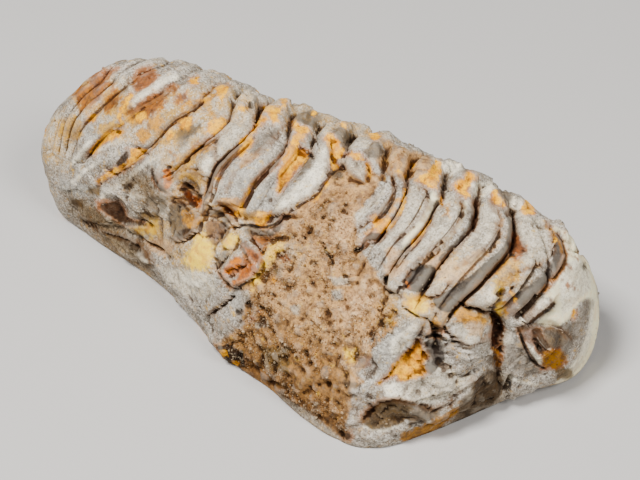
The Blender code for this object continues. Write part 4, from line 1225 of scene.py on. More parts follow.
        (0.6, ((543, 222), (550, 229), (553, 239), (552, 250), (549, 259))),
        (1.2, ((201, 103), (192, 110), (183, 117))),
        (1.3, ((172, 124), (165, 129), (159, 136))),
        (1.3, ((214, 140), (209, 143), (205, 146), (197, 150), (190, 156), (186, 160))),
        (0, ((247, 102), (252, 101), (255, 105), (254, 109), (249, 109))),
        (0, ((133, 146), (138, 146), (138, 149), (134, 149))),
        (0.9, ((138, 149), (145, 154))),
        (1.3, ((117, 132), (118, 132))),
        (2.0, ((250, 225), (258, 227))),
        (1.1, ((258, 227), (266, 227), (275, 224), (280, 220), (284, 216), (293, 216))),
        (1.5, ((294, 156), (295, 156))),
        (1.0, ((299, 146), (304, 148), (309, 152), (314, 158))),
        (1.1, ((338, 163), (342, 165), (346, 170))),
        (0.8, ((317, 141), (319, 149))),
        (1.0, ((287, 145), (288, 149), (285, 152))),
        (1.1, ((161, 171), (164, 169), (167, 167))),
        (1.3, ((182, 186), (188, 185), (192, 189))),
        (1.2, ((215, 262), (219, 272), (224, 280), (229, 286))),
        (2.0, ((237, 311), (240, 314))),
        (1.2, ((323, 244), (326, 252), (330, 258), (333, 265))),
        (2.2, ((355, 250), (362, 248))),
        (1.4, ((362, 246), (370, 240))),
        (1.6, ((385, 278), (386, 284))),
        (1.3, ((386, 289), (391, 291), (397, 290), (402, 285))),
        (1.1, ((417, 243), (410, 250), (402, 258), (396, 266))),
        (1.0, ((435, 252), (425, 258), (415, 264), (409, 270), (405, 276), (402, 284))),
        (1.1, (
            (513, 242), (511, 254), (501, 265), (491, 276), (480, 286), (470, 296), (460, 305),
            (448, 317),
        )),
        (1.2, ((558, 233), (562, 241), (565, 251), (565, 261), (561, 270), (550, 285), (541, 295))),
        (2.4, ((537, 300), (528, 307), (521, 316))),
        (1.6, ((554, 304), (548, 310), (540, 315), (533, 321), (526, 326))),
        (1.5, ((500, 294), (508, 290), (516, 286), (520, 284))),
        (1.0, ((402, 306), (410, 312), (418, 317), (424, 317), (428, 319), (431, 323), (433, 330))),
        (2.0, ((427, 337), (432, 335), (440, 336), (446, 341), (445, 346))),
        (0.9, ((445, 350), (448, 357), (450, 366), (454, 373), (459, 377), (466, 376), (473, 371))),
        (0.7, ((450, 335), (455, 343), (465, 350), (470, 357), (472, 365), (475, 373))),
        (1.1, ((445, 327), (447, 333))),
        (2.0, ((492, 316), (497, 320), (501, 328), (502, 336))),
        (2.0, ((500, 350), (502, 351))),
        (1.4, ((464, 306), (470, 310), (478, 309), (485, 313))),
        (0, ((508, 380), (512, 380), (511, 390), (506, 393))),
        (0.8, ((475, 390), (475, 400), (473, 408))),
        (1.2, ((519, 330), (522, 340), (526, 350), (531, 360), (537, 365), (543, 368))),
        (0, ((533, 342), (538, 342), (543, 349), (541, 353), (537, 349))),
        (1.0, ((513, 240), (514, 250), (514, 259))),
        (0.8, ((277, 254), (281, 251), (287, 249))),
        (1.0, ((424, 403), (430, 408), (435, 410), (442, 407), (448, 404))),
        (1.5, ((391, 175), (394, 185), (392, 195), (388, 204), (384, 212))),
    ),
    "band": (
        (3.0, ((508, 212), (511, 222), (511, 234), (507, 246), (499, 256), (488, 266))),
        (2.6, ((473, 206), (473, 218), (469, 229), (460, 240), (450, 250), (440, 260))),
        (2.2, ((404, 184), (404, 197), (399, 211), (391, 223))),
        (2.2, ((437, 200), (434, 212), (428, 224), (418, 236), (408, 248))),
        (0, (
            (512, 238), (513, 246), (509, 254), (502, 262), (494, 269), (487, 276), (480, 284),
            (473, 292), (466, 300), (459, 307), (451, 312), (443, 313), (434, 306), (432, 298),
            (440, 294), (450, 289), (462, 282), (471, 275), (478, 269), (486, 261), (495, 254),
            (503, 247), (507, 240), (508, 228), (511, 226),
        )),
        (1.3, ((506, 212), (510, 220), (510, 230))),
        (0, (
            (554, 230), (560, 238), (563, 250), (562, 262), (557, 271), (550, 280), (543, 288),
            (535, 294), (527, 301), (519, 311), (515, 302), (516, 294), (524, 288), (534, 283),
            (544, 274), (551, 264), (554, 252), (553, 240),
        )),
        (0.9, ((519, 284), (528, 278), (537, 272), (545, 265))),
        (0, (
            (436, 268), (434, 277), (429, 288), (421, 293), (409, 291), (402, 285), (405, 276),
            (411, 270), (420, 266), (430, 264),
        )),
        (0.8, ((437, 252), (427, 257), (417, 263), (409, 271), (404, 279))),
        (1.0, ((466, 206), (465, 216), (459, 228), (450, 238), (440, 248))),
        (0.8, ((381, 214), (388, 205), (392, 194), (391, 182))),
        (1.6, ((473, 206), (472, 216), (470, 226), (464, 236), (456, 245), (447, 254))),
        (1.6, ((439, 200), (435, 210), (430, 219), (424, 229), (415, 240), (405, 251))),
        (0, (
            (424, 343), (430, 338), (441, 338), (445, 345), (443, 350), (446, 358), (440, 364),
            (436, 370), (430, 376), (426, 372), (422, 367), (430, 358), (426, 352),
        )),
        (1.4, ((404, 182), (405, 194), (401, 207), (394, 220), (386, 232))),
    ),
    # partly the stone's own grey brown, partly painted shade on the shaded faces of the rings and the blade
    # and on the flank that faces down
    "grey brown and shade": (
        (0, (
            (171, 203), (178, 198), (185, 200), (191, 207), (198, 212), (200, 219), (200, 226),
            (194, 232), (188, 237), (180, 243), (174, 240), (170, 230), (168, 215),
        )),
        (0, (
            (204, 213), (210, 209), (217, 206), (226, 212), (233, 219), (233, 226), (226, 223),
            (216, 216), (207, 215),
        )),
        (0, (
            (542, 330), (550, 327), (560, 329), (567, 334), (569, 341), (563, 347), (556, 350),
            (549, 348), (544, 341),
        )),
        (0, ((274, 269), (279, 265), (282, 270), (281, 278), (275, 276))),
        (0, ((244, 228), (252, 226), (260, 228), (262, 235), (252, 237), (244, 234))),
        (0, (
            (293, 118), (300, 113), (307, 110), (315, 112), (322, 117), (321, 123), (318, 128),
            (312, 129), (306, 126), (299, 124),
        )),
        (0, (
            (331, 131), (341, 124), (343, 130), (350, 131), (357, 138), (356, 145), (349, 145),
            (346, 152), (341, 150), (338, 140),
        )),
        (0, (
            (368, 148), (371, 142), (378, 142), (386, 150), (383, 158), (373, 160), (366, 157),
            (361, 152),
        )),
        (0, (
            (465, 161), (468, 167), (469, 172), (463, 175), (458, 180), (452, 184), (450, 179),
            (455, 175), (462, 170),
        )),
        (0, ((441, 175), (448, 180), (450, 187), (445, 189), (440, 187), (439, 180))),
        (0, (
            (497, 182), (503, 183), (508, 190), (513, 198), (511, 202), (505, 204), (500, 200),
            (497, 193),
        )),
        (0, (
            (305, 152), (315, 155), (312, 165), (305, 172), (298, 180), (292, 188), (297, 176),
            (303, 166),
        )),
        (0, (
            (477, 378), (485, 370), (500, 372), (505, 385), (500, 397), (480, 412), (460, 424),
            (450, 428), (455, 415), (462, 400), (470, 388),
        )),
        (0, ((176, 130), (190, 126), (204, 122), (200, 132), (186, 140), (176, 138))),
        (0, ((487, 350), (492, 352), (498, 360), (499, 368), (494, 365), (487, 363))),
        (0, ((583, 262), (586, 262), (586, 271), (582, 271))),
        (0, ((250, 241), (256, 245), (261, 250), (263, 256), (258, 252), (252, 246))),
        (0, (
            (106, 233), (120, 234), (134, 240), (142, 240), (147, 247), (150, 254), (152, 262),
            (140, 254), (122, 243),
        )),
        (0, ((138, 262), (155, 264), (155, 270), (140, 269))),
        (0, ((335, 381), (350, 380), (362, 382), (366, 385), (358, 388), (345, 389))),
        (0, ((374, 390), (381, 390), (381, 396), (375, 396))),
        (0, ((274, 268), (281, 267), (281, 277), (275, 277))),
        (0, ((330, 170), (341, 168), (345, 176), (338, 180), (331, 178))),
        (0, (
            (412, 412), (416, 405), (424, 403), (430, 408), (436, 410), (445, 407), (448, 409),
            (440, 416), (430, 421), (418, 425), (409, 427), (405, 424),
        )),
    ),
    "amber": (
        (2.2, ((152, 147), (166, 128), (182, 117), (200, 105), (214, 96))),
        (0, ((136, 130), (146, 127), (151, 134), (146, 144), (137, 144))),
        (1.4, ((78, 88), (80, 98), (84, 106))),
        (0, ((177, 118), (186, 115), (193, 120), (188, 130), (178, 130))),
        (1.4, ((200, 108), (210, 112), (214, 118))),
        (2.0, ((112, 86), (118, 96), (112, 106))),
        (2.4, ((124, 100), (126, 112), (134, 120))),
        (1.6, ((168, 150), (176, 158), (172, 168))),
        (0, ((183, 210), (192, 208), (198, 216), (197, 226), (188, 229), (183, 220))),
        (0, ((222, 197), (232, 196), (242, 199), (246, 206), (240, 213), (230, 210), (222, 205))),
        (2.4, ((249, 190), (246, 199), (241, 209))),
        (0, ((147, 100), (160, 96), (165, 108), (150, 116), (140, 116))),
        (2.0, ((182, 108), (196, 100), (212, 92))),
        (2.2, ((158, 132), (172, 124), (190, 112))),
        (0, ((206, 142), (216, 138), (212, 146), (200, 152), (190, 158), (186, 156), (196, 148))),
        (0, ((146, 120), (158, 114), (164, 120), (156, 130), (146, 130))),
        (1.8, ((226, 160), (238, 150), (248, 138), (256, 128))),
        (0, ((492, 347), (500, 349), (501, 370), (496, 364))),
        (2.0, ((515, 280), (512, 290), (506, 300), (505, 316))),
        (1.6, ((560, 242), (566, 254), (563, 268), (553, 281), (540, 295))),
        (1.4, ((512, 254), (502, 266), (490, 277), (478, 288))),
        (0, ((452, 313), (462, 308), (468, 312), (482, 316), (486, 322), (470, 321), (456, 320))),
        (0, ((446, 206), (450, 206), (448, 216), (444, 214))),
        (2.0, ((366, 232), (378, 226), (390, 214), (400, 200))),
        (0, ((430, 320), (440, 322), (441, 332), (432, 332))),
        (1.6, ((395, 324), (383, 334), (372, 346))),
    ),
    "white": (
        (0, ((442, 162), (452, 161), (463, 162), (460, 170), (452, 176), (443, 174))),
        (0, ((471, 184), (480, 182), (494, 182), (492, 190), (484, 197), (476, 196))),
        (0, (
            (322, 148), (328, 146), (328, 158), (325, 168), (321, 180), (314, 190), (304, 196),
            (286, 208), (276, 210), (284, 197), (294, 190), (304, 178), (312, 168), (318, 156),
        )),
        (0, ((512, 198), (522, 199), (524, 206), (518, 212), (509, 208))),
        (0, ((390, 340), (404, 330), (414, 322), (420, 324), (412, 338), (402, 350), (392, 358))),
        (1.6, ((72, 182), (84, 172), (98, 162))),
        (2.0, ((102, 196), (120, 184), (138, 170), (150, 160))),
        (1.6, ((130, 196), (146, 197), (158, 203))),
        (1.4, ((156, 160), (172, 146), (180, 136))),
        (0, ((502, 330), (512, 334), (514, 344), (504, 344))),
        (1.4, ((508, 376), (520, 382), (536, 384))),
        (0, (
            (199, 170), (202, 162), (207, 157), (212, 157), (214, 164), (213, 172), (209, 179),
            (204, 181),
        )),
        (3.4, ((131, 107), (137, 102), (141, 95), (150, 90), (158, 84), (167, 79), (176, 77))),
        (1.4, ((122, 80), (128, 86), (134, 92))),
        (2.6, ((90, 143), (82, 152), (74, 162))),
        (0.9, ((537, 334), (543, 341), (550, 350))),
        (0, ((527, 344), (532, 348), (538, 355), (544, 361), (541, 365), (534, 360), (529, 352))),
        (0, (
            (519, 321), (525, 316), (532, 309), (539, 302), (545, 299), (549, 301), (542, 307),
            (535, 312), (529, 318), (523, 322),
        )),
        (1.2, ((365, 427), (380, 431), (392, 428), (400, 423))),
        (0, ((384, 384), (400, 382), (404, 392), (394, 398), (386, 396))),
        (1.6, ((400, 396), (420, 402), (436, 402), (446, 396), (460, 388), (472, 382))),
        (0, ((208, 186), (216, 178), (222, 180), (218, 192), (212, 206), (207, 208), (206, 198))),
        (1.3, ((330, 146), (330, 157), (328, 167), (325, 177), (318, 187), (309, 195))),
        (0, ((176, 268), (196, 270), (210, 276), (200, 288), (184, 284))),
        (1.6, ((98, 150), (110, 144), (120, 140))),
        (0, (
            (566, 262), (580, 258), (590, 272), (592, 288), (580, 298), (572, 308), (562, 316),
            (560, 300), (560, 280),
        )),
        (2.0, ((593, 300), (590, 330), (584, 350), (572, 368))),
        (0, ((490, 283), (497, 284), (500, 296), (494, 304), (486, 300))),
    ),
    "olive": (
        (0, (
            (360, 420), (365, 414), (372, 407), (380, 401), (388, 399), (410, 402), (416, 404),
            (412, 412), (408, 418), (402, 423), (395, 426), (385, 429), (375, 430), (366, 426),
        )),
        (0, ((123, 185), (130, 182), (137, 180), (141, 182), (135, 185), (131, 190), (125, 190))),
        (0, ((88, 187), (99, 187), (100, 195), (89, 195))),
        (0, ((70, 199), (85, 200), (84, 207), (72, 206))),
        (0, ((555, 368), (572, 368), (574, 378), (557, 380))),
        (0, ((140, 211), (160, 211), (159, 220), (142, 219))),
        (0, ((262, 347), (290, 348), (288, 373), (266, 370))),
        (0, ((380, 320), (395, 321), (394, 334), (381, 333))),
        (0, ((215, 345), (245, 350), (244, 368), (228, 362))),
        (0, ((147, 196), (161, 196), (160, 200), (149, 200))),
    ),
    "cream": (
        (0, (
            (216, 140), (222, 133), (228, 122), (236, 113), (248, 112), (258, 113), (257, 120),
            (252, 130), (244, 138), (236, 146), (228, 152), (222, 158), (216, 162),
        )),
        (0, (
            (320, 145), (326, 143), (330, 147), (329, 158), (327, 168), (325, 176), (320, 186),
            (314, 193), (305, 197), (285, 211), (274, 213), (278, 196), (285, 195), (290, 190),
            (298, 182), (305, 175), (311, 168), (315, 160), (318, 152),
        )),
        (0, (
            (336, 160), (341, 157), (348, 159), (356, 161), (363, 161), (366, 168), (366, 178),
            (363, 182), (358, 178), (352, 172), (346, 168), (340, 164),
        )),
        (0, (
            (390, 183), (385, 190), (380, 200), (372, 208), (362, 218), (357, 226), (352, 222),
            (355, 214), (366, 207), (376, 197), (384, 187),
        )),
        (0, (
            (403, 187), (410, 184), (420, 185), (425, 191), (427, 199), (427, 206), (424, 213),
            (419, 220), (412, 226), (406, 231), (400, 237), (396, 240), (390, 246), (380, 254),
            (380, 241), (388, 231), (394, 222), (400, 212), (404, 203), (405, 190),
        )),
        (0, (
            (440, 210), (443, 203), (443, 196), (447, 193), (454, 195), (459, 200), (461, 207),
            (459, 217), (455, 225), (449, 233), (444, 240), (437, 246), (430, 250), (420, 256),
            (412, 262), (404, 268), (405, 262), (413, 250), (420, 242), (426, 234), (431, 226),
            (433, 217),
        )),
        (0, (
            (478, 203), (486, 203), (494, 207), (499, 213), (500, 222), (497, 232), (491, 241),
            (483, 247), (474, 252), (465, 258), (456, 263), (452, 262), (456, 253), (465, 243),
            (472, 233), (477, 226), (478, 215),
        )),
        (0, (
            (516, 222), (522, 217), (530, 216), (536, 217), (542, 221), (548, 227), (551, 235),
            (553, 243), (552, 252), (550, 258), (545, 262), (537, 264), (527, 267), (520, 268),
            (514, 262), (518, 255), (524, 250), (520, 240), (516, 233),
        )),
        (0, (
            (437, 281), (442, 284), (447, 284), (443, 290), (437, 294), (430, 296), (425, 294),
            (430, 287),
        )),
        (0, ((388, 283), (395, 282), (402, 280), (401, 285), (396, 289), (390, 290))),
        (0, (
            (322, 128), (328, 120), (335, 115), (341, 121), (336, 122), (330, 129), (327, 136),
            (320, 135),
        )),
        (0, (
            (350, 127), (356, 124), (362, 124), (368, 130), (366, 138), (371, 143), (370, 147),
            (362, 148), (352, 148), (348, 150), (352, 143), (358, 141), (357, 135), (351, 131),
        )),
        (0, (
            (441, 161), (450, 160), (460, 160), (465, 161), (462, 170), (455, 175), (450, 179),
            (441, 175),
        )),
        (0, (
            (470, 184), (476, 182), (483, 181), (490, 180), (497, 181), (497, 188), (491, 191),
            (487, 196), (483, 199), (476, 197),
        )),
        (0, (
            (511, 195), (520, 197), (525, 200), (524, 207), (520, 211), (523, 216), (516, 219),
            (508, 214), (506, 207),
        )),
        (0, ((243, 92), (250, 90), (254, 95), (256, 102), (250, 100), (245, 98))),
        (0, (
            (131, 228), (136, 224), (148, 226), (154, 222), (160, 219), (158, 228), (160, 236),
            (153, 240), (147, 242), (142, 235),
        )),
        (0, ((150, 240), (160, 237), (170, 240), (174, 244), (168, 249), (158, 246))),
        (0, ((160, 266), (185, 272), (214, 276), (216, 290), (206, 300), (186, 296), (164, 282))),
        (0, ((330, 278), (348, 277), (350, 285), (334, 285))),
        (0, ((290, 306), (299, 305), (299, 315), (291, 315))),
        (0, ((255, 323), (268, 323), (266, 328), (256, 328))),
        (0, (
            (400, 382), (415, 378), (430, 377), (436, 370), (443, 362), (447, 358), (450, 367),
            (455, 375), (462, 378), (473, 372), (477, 378), (470, 385), (455, 388), (445, 395),
            (440, 400), (400, 400),
        )),
        (0, ((384, 383), (396, 382), (396, 396), (386, 396))),
        (0, (
            (466, 304), (470, 297), (476, 291), (483, 287), (490, 281), (495, 285), (497, 292),
            (496, 300), (490, 305), (488, 312), (480, 307), (472, 308),
        )),
        (0, (
            (452, 325), (462, 323), (475, 325), (485, 328), (484, 335), (475, 342), (465, 344),
            (455, 335),
        )),
        (0, (
            (517, 321), (523, 316), (530, 309), (537, 302), (543, 298), (549, 299), (550, 302),
            (543, 308), (536, 313), (530, 319), (525, 323),
        )),
        (3.5, ((131, 107), (137, 102), (141, 95), (150, 90), (158, 84), (167, 79), (176, 77))),
        (1.2, ((122, 80), (128, 86), (134, 92))),
        (3, ((90, 143), (82, 152), (74, 162))),
        (2.5, ((113, 242), (125, 250), (137, 256), (147, 262))),
        (1.0, ((537, 337), (541, 343), (545, 348), (550, 350))),
        (0, ((527, 343), (532, 348), (538, 355), (543, 360), (541, 363), (535, 359), (530, 351))),
        (2.5, ((590, 335), (585, 350), (580, 362), (570, 373), (560, 380))),
        (1.2, ((365, 427), (380, 431), (392, 428), (400, 423))),
        (2.2, ((500, 252), (490, 260), (480, 268), (465, 276), (455, 282))),
        (0, ((430, 157), (440, 158), (439, 165), (431, 165))),
    ),
    # the shell's own cream, painted lighter than it is as painted light on the face, which the lamps leave
    # dim
    "shell": (
        (0, (
            (590, 298), (598, 296), (601, 325), (598, 346), (590, 362), (578, 374), (566, 382),
            (556, 383), (567, 371), (578, 358), (585, 344), (590, 322),
        )),
        (0, (
            (548, 224), (562, 230), (576, 238), (588, 252), (596, 275), (598, 300), (588, 298),
            (580, 302), (574, 310), (568, 320), (560, 325), (545, 326), (537, 323), (545, 315),
            (553, 311), (556, 304), (551, 298), (545, 297), (556, 284), (566, 268), (568, 256),
            (564, 243), (556, 232),
        )),
        (0, (
            (445, 262), (462, 262), (480, 252), (488, 254), (480, 260), (468, 268), (455, 275),
            (447, 282), (440, 283), (440, 268),
        )),
        (0, (
            (432, 190), (440, 197), (441, 205), (436, 210), (431, 218), (424, 226), (418, 234),
            (410, 242), (400, 250), (406, 236), (420, 220), (428, 206),
        )),
        (1.6, ((465, 203), (464, 215), (458, 226), (449, 236), (438, 246))),
    ),
    "yellow": (
        (0, ((222, 240), (227, 234), (236, 235), (237, 243), (231, 249), (224, 248))),
        (0, (
            (263, 262), (265, 254), (270, 246), (278, 241), (284, 245), (284, 250), (277, 254),
            (270, 262), (265, 270), (259, 282), (252, 291), (254, 280), (260, 270),
        )),
        (0, ((148, 222), (156, 220), (158, 232), (152, 238), (146, 232))),
        (0, (
            (195, 235), (205, 232), (212, 240), (214, 250), (210, 262), (205, 270), (190, 270),
            (183, 262), (188, 252), (193, 245),
        )),
        (0, ((345, 350), (355, 350), (355, 362), (346, 361))),
        (0, ((386, 315), (392, 316), (391, 322), (386, 321))),
        (0, (
            (403, 303), (408, 296), (415, 295), (424, 296), (428, 303), (427, 310), (420, 316),
            (410, 312),
        )),
        (0, (
            (492, 280), (500, 285), (503, 292), (500, 298), (503, 305), (503, 315), (497, 318),
            (492, 315), (497, 308), (498, 298),
        )),
        (0, ((131, 228), (140, 226), (152, 226), (150, 234), (142, 235))),
    ),
    "blue grey": (
        (0, ((118, 152), (140, 142), (166, 132), (152, 150), (128, 166), (112, 168))),
        (0, ((84, 130), (110, 112), (126, 118), (100, 140), (86, 148))),
        (0, ((150, 158), (170, 148), (178, 158), (160, 176), (146, 176))),
        (0, ((60, 178), (84, 184), (96, 192), (76, 196), (60, 190))),
        (0, (
            (224, 180), (230, 172), (238, 164), (247, 158), (258, 158), (262, 160), (258, 168),
            (250, 178), (246, 188), (240, 196), (232, 195), (226, 190),
        )),
        (0, (
            (250, 195), (262, 185), (275, 172), (277, 178), (276, 186), (275, 194), (272, 200),
            (272, 210), (262, 212), (250, 213),
        )),
        (0, (
            (228, 294), (238, 290), (248, 290), (250, 300), (245, 304), (243, 312), (236, 308),
            (229, 303),
        )),
        (0, (
            (400, 323), (410, 317), (418, 317), (424, 322), (420, 331), (418, 336), (413, 343),
            (408, 348), (403, 353), (392, 364), (388, 373), (380, 378), (372, 384), (362, 390),
            (352, 400), (350, 408), (355, 420), (348, 424), (352, 400), (353, 390), (366, 384),
            (372, 372), (374, 350), (385, 340),
        )),
        (0, (
            (270, 392), (283, 396), (300, 405), (318, 418), (345, 443), (330, 437), (300, 413),
            (285, 402),
        )),
        (0, ((332, 291), (343, 290), (343, 299), (333, 300))),
        (1.5, ((393, 175), (400, 182), (402, 195), (398, 207), (393, 214))),
        (0, ((485, 331), (492, 331), (491, 345), (486, 344))),
        (1.2, ((232, 282), (240, 276), (248, 269))),
    ),
    "sand": (
        (0, (
            (385, 175), (335, 165), (322, 190), (300, 205), (280, 230), (255, 235), (265, 260),
            (240, 290), (245, 325), (215, 345), (245, 372), (300, 410), (348, 443), (345, 425),
            (348, 418), (352, 400), (352, 388), (365, 383), (357, 375), (365, 365), (372, 355),
            (370, 340), (395, 326), (402, 306), (385, 285), (360, 250), (355, 215), (372, 195),
        )),
        (0, (
            (340, 121), (375, 131), (400, 147), (440, 159), (436, 172), (418, 178), (404, 180),
            (388, 176), (372, 158), (388, 152), (376, 140), (350, 131),
        )),
        (0, (
            (452, 313), (460, 308), (465, 306), (470, 313), (480, 316), (488, 318), (487, 325),
            (470, 322), (455, 320),
        )),
        (0, ((428, 300), (445, 301), (450, 315), (445, 330), (432, 322))),
    ),
    "brown sand": (
        (0, (
            (240, 300), (258, 292), (276, 312), (292, 330), (318, 340), (338, 352), (350, 388),
            (350, 440), (300, 408), (262, 385), (222, 362), (215, 345), (245, 325),
        )),
        (0, ((335, 205), (350, 200), (352, 208), (338, 214))),
        (0, ((286, 222), (302, 214), (314, 226), (304, 240), (290, 236))),
    ),
    "warm": (
        (0, (
            (148, 100), (170, 88), (196, 92), (226, 100), (232, 116), (214, 138), (190, 150), (170, 166),
            (158, 170), (160, 150), (148, 140), (136, 140), (140, 122),
        )),
        (0, ((76, 84), (96, 76), (120, 80), (128, 96), (124, 116), (100, 122), (84, 116), (76, 104))),
        (0, ((172, 150), (200, 142), (206, 156), (196, 170), (204, 190), (176, 196), (170, 172))),
        (0, (
            (150, 196), (176, 190), (204, 198), (226, 200), (246, 212), (250, 236), (220, 250),
            (176, 246), (150, 226),
        )),
        (0, ((196, 92), (214, 84), (240, 92), (256, 104), (244, 124), (226, 118), (206, 106))),
        (0, ((498, 258), (520, 258), (530, 268), (520, 290), (506, 318), (494, 318), (492, 280))),
        (0, (
            (262, 104), (300, 104), (340, 116), (380, 130), (380, 146), (340, 134), (290, 122),
            (262, 122),
        )),
        (0, ((384, 300), (400, 290), (440, 296), (446, 320), (430, 330), (404, 318), (388, 322))),
        (0, ((44, 118), (62, 112), (74, 124), (72, 152), (60, 170), (44, 165))),
        (0, ((150, 228), (190, 226), (236, 232), (240, 256), (210, 272), (180, 268), (160, 250))),
        (0, ((252, 240), (300, 238), (300, 258), (262, 262))),
        (0, ((382, 300), (402, 292), (440, 292), (440, 312), (415, 318), (385, 322))),
        (0, ((440, 248), (480, 248), (470, 270), (448, 290), (432, 282))),
        (0, ((150, 112), (210, 100), (232, 112), (212, 136), (168, 146), (150, 132))),
        (0, ((100, 122), (128, 118), (126, 140), (104, 146))),
    ),
    # painted shade: the lower flank, the base lip and the underside, darker where they face down
    "shade": (
        (0, (
            (58, 198), (85, 197), (110, 212), (150, 216), (176, 236), (170, 250), (140, 240), (120, 235),
            (150, 260), (168, 294), (150, 280), (125, 266), (100, 247), (78, 226),
        )),
        (0, (
            (212, 345), (240, 348), (264, 366), (300, 392), (352, 432), (345, 446), (300, 414),
            (262, 390), (236, 372),
        )),
        (0, ((446, 434), (470, 402), (474, 384), (484, 366), (506, 370), (508, 396), (480, 416))),
        (0, ((118, 172), (150, 166), (165, 190), (150, 206), (120, 196))),
    ),
    "mauve": (
        (0, ((154, 172), (158, 168), (163, 172), (164, 182), (167, 190), (161, 191), (154, 183))),
        (0, ((206, 220), (216, 219), (226, 226), (230, 232), (224, 240), (214, 246), (206, 238))),
        (0, (
            (240, 241), (246, 240), (251, 246), (257, 251), (261, 257), (258, 262), (251, 262),
            (245, 254), (239, 248),
        )),
        (0, ((516, 328), (530, 326), (539, 334), (540, 344), (530, 345), (522, 338))),
        (0, ((489, 324), (496, 326), (499, 340), (499, 356), (492, 350), (488, 338))),
        (0, ((520, 328), (530, 327), (540, 334), (538, 344), (528, 344), (522, 338))),
        (0, (
            (508, 292), (513, 291), (517, 297), (518, 305), (519, 312), (515, 318), (508, 318),
            (505, 310), (505, 302),
        )),
        (0, ((355, 355), (372, 355), (371, 368), (357, 367))),
        (0, ((278, 254), (290, 255), (290, 261), (279, 261))),
        (0, ((412, 412), (416, 405), (424, 404), (430, 409), (420, 420), (409, 426))),
    ),
    "grey": (
        (2.4, ((560, 350), (572, 344), (580, 332), (586, 316))),
        (2.0, ((462, 204), (462, 214), (457, 226), (449, 236))),
        (2.2, ((506, 212), (510, 222), (511, 232))),
        (1.8, ((472, 204), (473, 214), (470, 226), (462, 236), (452, 246))),
        (0, ((384, 288), (396, 286), (402, 292), (398, 298), (388, 296))),
        (0, ((176, 140), (186, 134), (190, 142), (178, 150))),
        (5.0, ((588, 304), (582, 320), (575, 336), (562, 350))),
        (0, ((565, 324), (575, 322), (580, 334), (570, 346), (562, 338))),
        (0, ((503, 345), (520, 343), (536, 362), (543, 374), (520, 374), (504, 366))),
        (0, ((217, 262), (220, 253), (228, 250), (232, 254), (228, 262), (220, 270))),
        (0, ((146, 196), (158, 192), (168, 198), (166, 212), (154, 214), (146, 206))),
        (0, (
            (458, 204), (466, 204), (465, 216), (458, 228), (450, 238), (440, 248), (432, 252),
            (444, 238), (454, 226), (460, 214),
        )),
        (0, (
            (430, 200), (438, 202), (434, 214), (428, 224), (422, 234), (412, 244), (404, 252),
            (410, 240), (422, 226), (428, 212),
        )),
        (0, ((256, 138), (270, 130), (284, 124), (280, 134), (268, 146), (254, 156), (250, 150))),
        (0, ((372, 214), (380, 210), (388, 200), (394, 204), (386, 216), (376, 222))),
    ),
    "dust": (
        (0, (
            (329, 215), (340, 212), (350, 208), (358, 206), (352, 215), (357, 224), (352, 235),
            (345, 248), (340, 247), (332, 242), (330, 232),
        )),
        (0, (
            (350, 290), (360, 283), (368, 278), (378, 285), (380, 295), (372, 305), (362, 315),
            (352, 320), (340, 330), (341, 312),
        )),
        (0, ((330, 309), (346, 308), (347, 319), (333, 320))),
        (0, ((143, 240), (160, 238), (176, 246), (168, 256), (150, 252))),
        (1.6, ((470, 300), (458, 308), (446, 316))),
        (0, (
            (437, 262), (446, 260), (456, 262), (466, 258), (476, 250), (484, 254), (482, 260),
            (474, 268), (464, 276), (452, 285), (441, 282), (436, 275),
        )),
        (0, ((420, 258), (432, 252), (442, 250), (446, 256), (440, 264), (430, 268), (422, 266))),
        (0, ((385, 262), (398, 258), (410, 262), (404, 273), (394, 280), (384, 274))),
        (0, ((400, 296), (414, 294), (428, 298), (434, 306), (424, 316), (410, 310))),
        (1.6, ((502, 218), (502, 232), (497, 244), (487, 254), (474, 262), (462, 270))),
        (1.0, ((464, 206), (463, 216), (457, 228), (448, 238), (438, 247))),
        (1.4, ((520, 272), (532, 268), (546, 260))),
        (0, ((384, 250), (394, 246), (402, 252), (396, 260), (386, 262))),
        (0, ((240, 158), (254, 152), (262, 154), (252, 162), (240, 168))),
        (0, ((466, 322), (478, 320), (486, 326), (482, 336), (470, 336))),
        (0, ((425, 330), (440, 332), (444, 338), (430, 340))),
        (1.5, ((238, 148), (228, 156), (218, 166))),
    ),
    "tan": (
        (0, ((76, 82), (84, 80), (92, 88), (92, 104), (88, 114), (80, 112), (74, 98))),
        (0, ((104, 90), (114, 88), (120, 100), (116, 114), (106, 114), (102, 102))),
        (0, ((118, 104), (128, 98), (136, 112), (144, 124), (132, 128), (120, 118))),
        (0, ((60, 120), (74, 116), (84, 124), (80, 140), (66, 144), (56, 134))),
        (0, (
            (500, 256), (510, 258), (520, 262), (522, 272), (517, 282), (508, 288), (499, 290),
            (494, 284), (498, 274), (494, 268),
        )),
        (0, (
            (172, 178), (180, 171), (192, 168), (203, 172), (206, 181), (204, 186), (196, 182),
            (186, 178), (178, 184),
        )),
        (0, (
            (178, 160), (184, 152), (194, 146), (206, 142), (200, 150), (196, 160), (192, 170),
            (180, 172), (172, 168),
        )),
        (1.2, ((256, 182), (250, 190), (246, 199), (242, 208), (240, 213))),
        (0, ((452, 310), (464, 306), (478, 312), (490, 316), (490, 324), (474, 322), (456, 322))),
        (0, ((166, 134), (176, 128), (188, 124), (192, 132), (180, 140), (168, 146), (160, 142))),
        (0, ((205, 222), (216, 220), (220, 226), (212, 232), (204, 230))),
        (0, ((237, 216), (246, 211), (262, 210), (272, 212), (268, 219), (258, 224), (244, 222))),
        (1.6, ((300, 202), (318, 196), (328, 186))),
        (0, ((92, 128), (110, 122), (122, 126), (104, 136))),
    ),
    "orange": (
        (0, ((163, 170), (168, 167), (171, 171), (172, 182), (171, 190), (167, 194), (164, 184))),
        (0, (
            (183, 189), (190, 192), (196, 197), (203, 200), (202, 208), (197, 209), (190, 202),
            (185, 196),
        )),
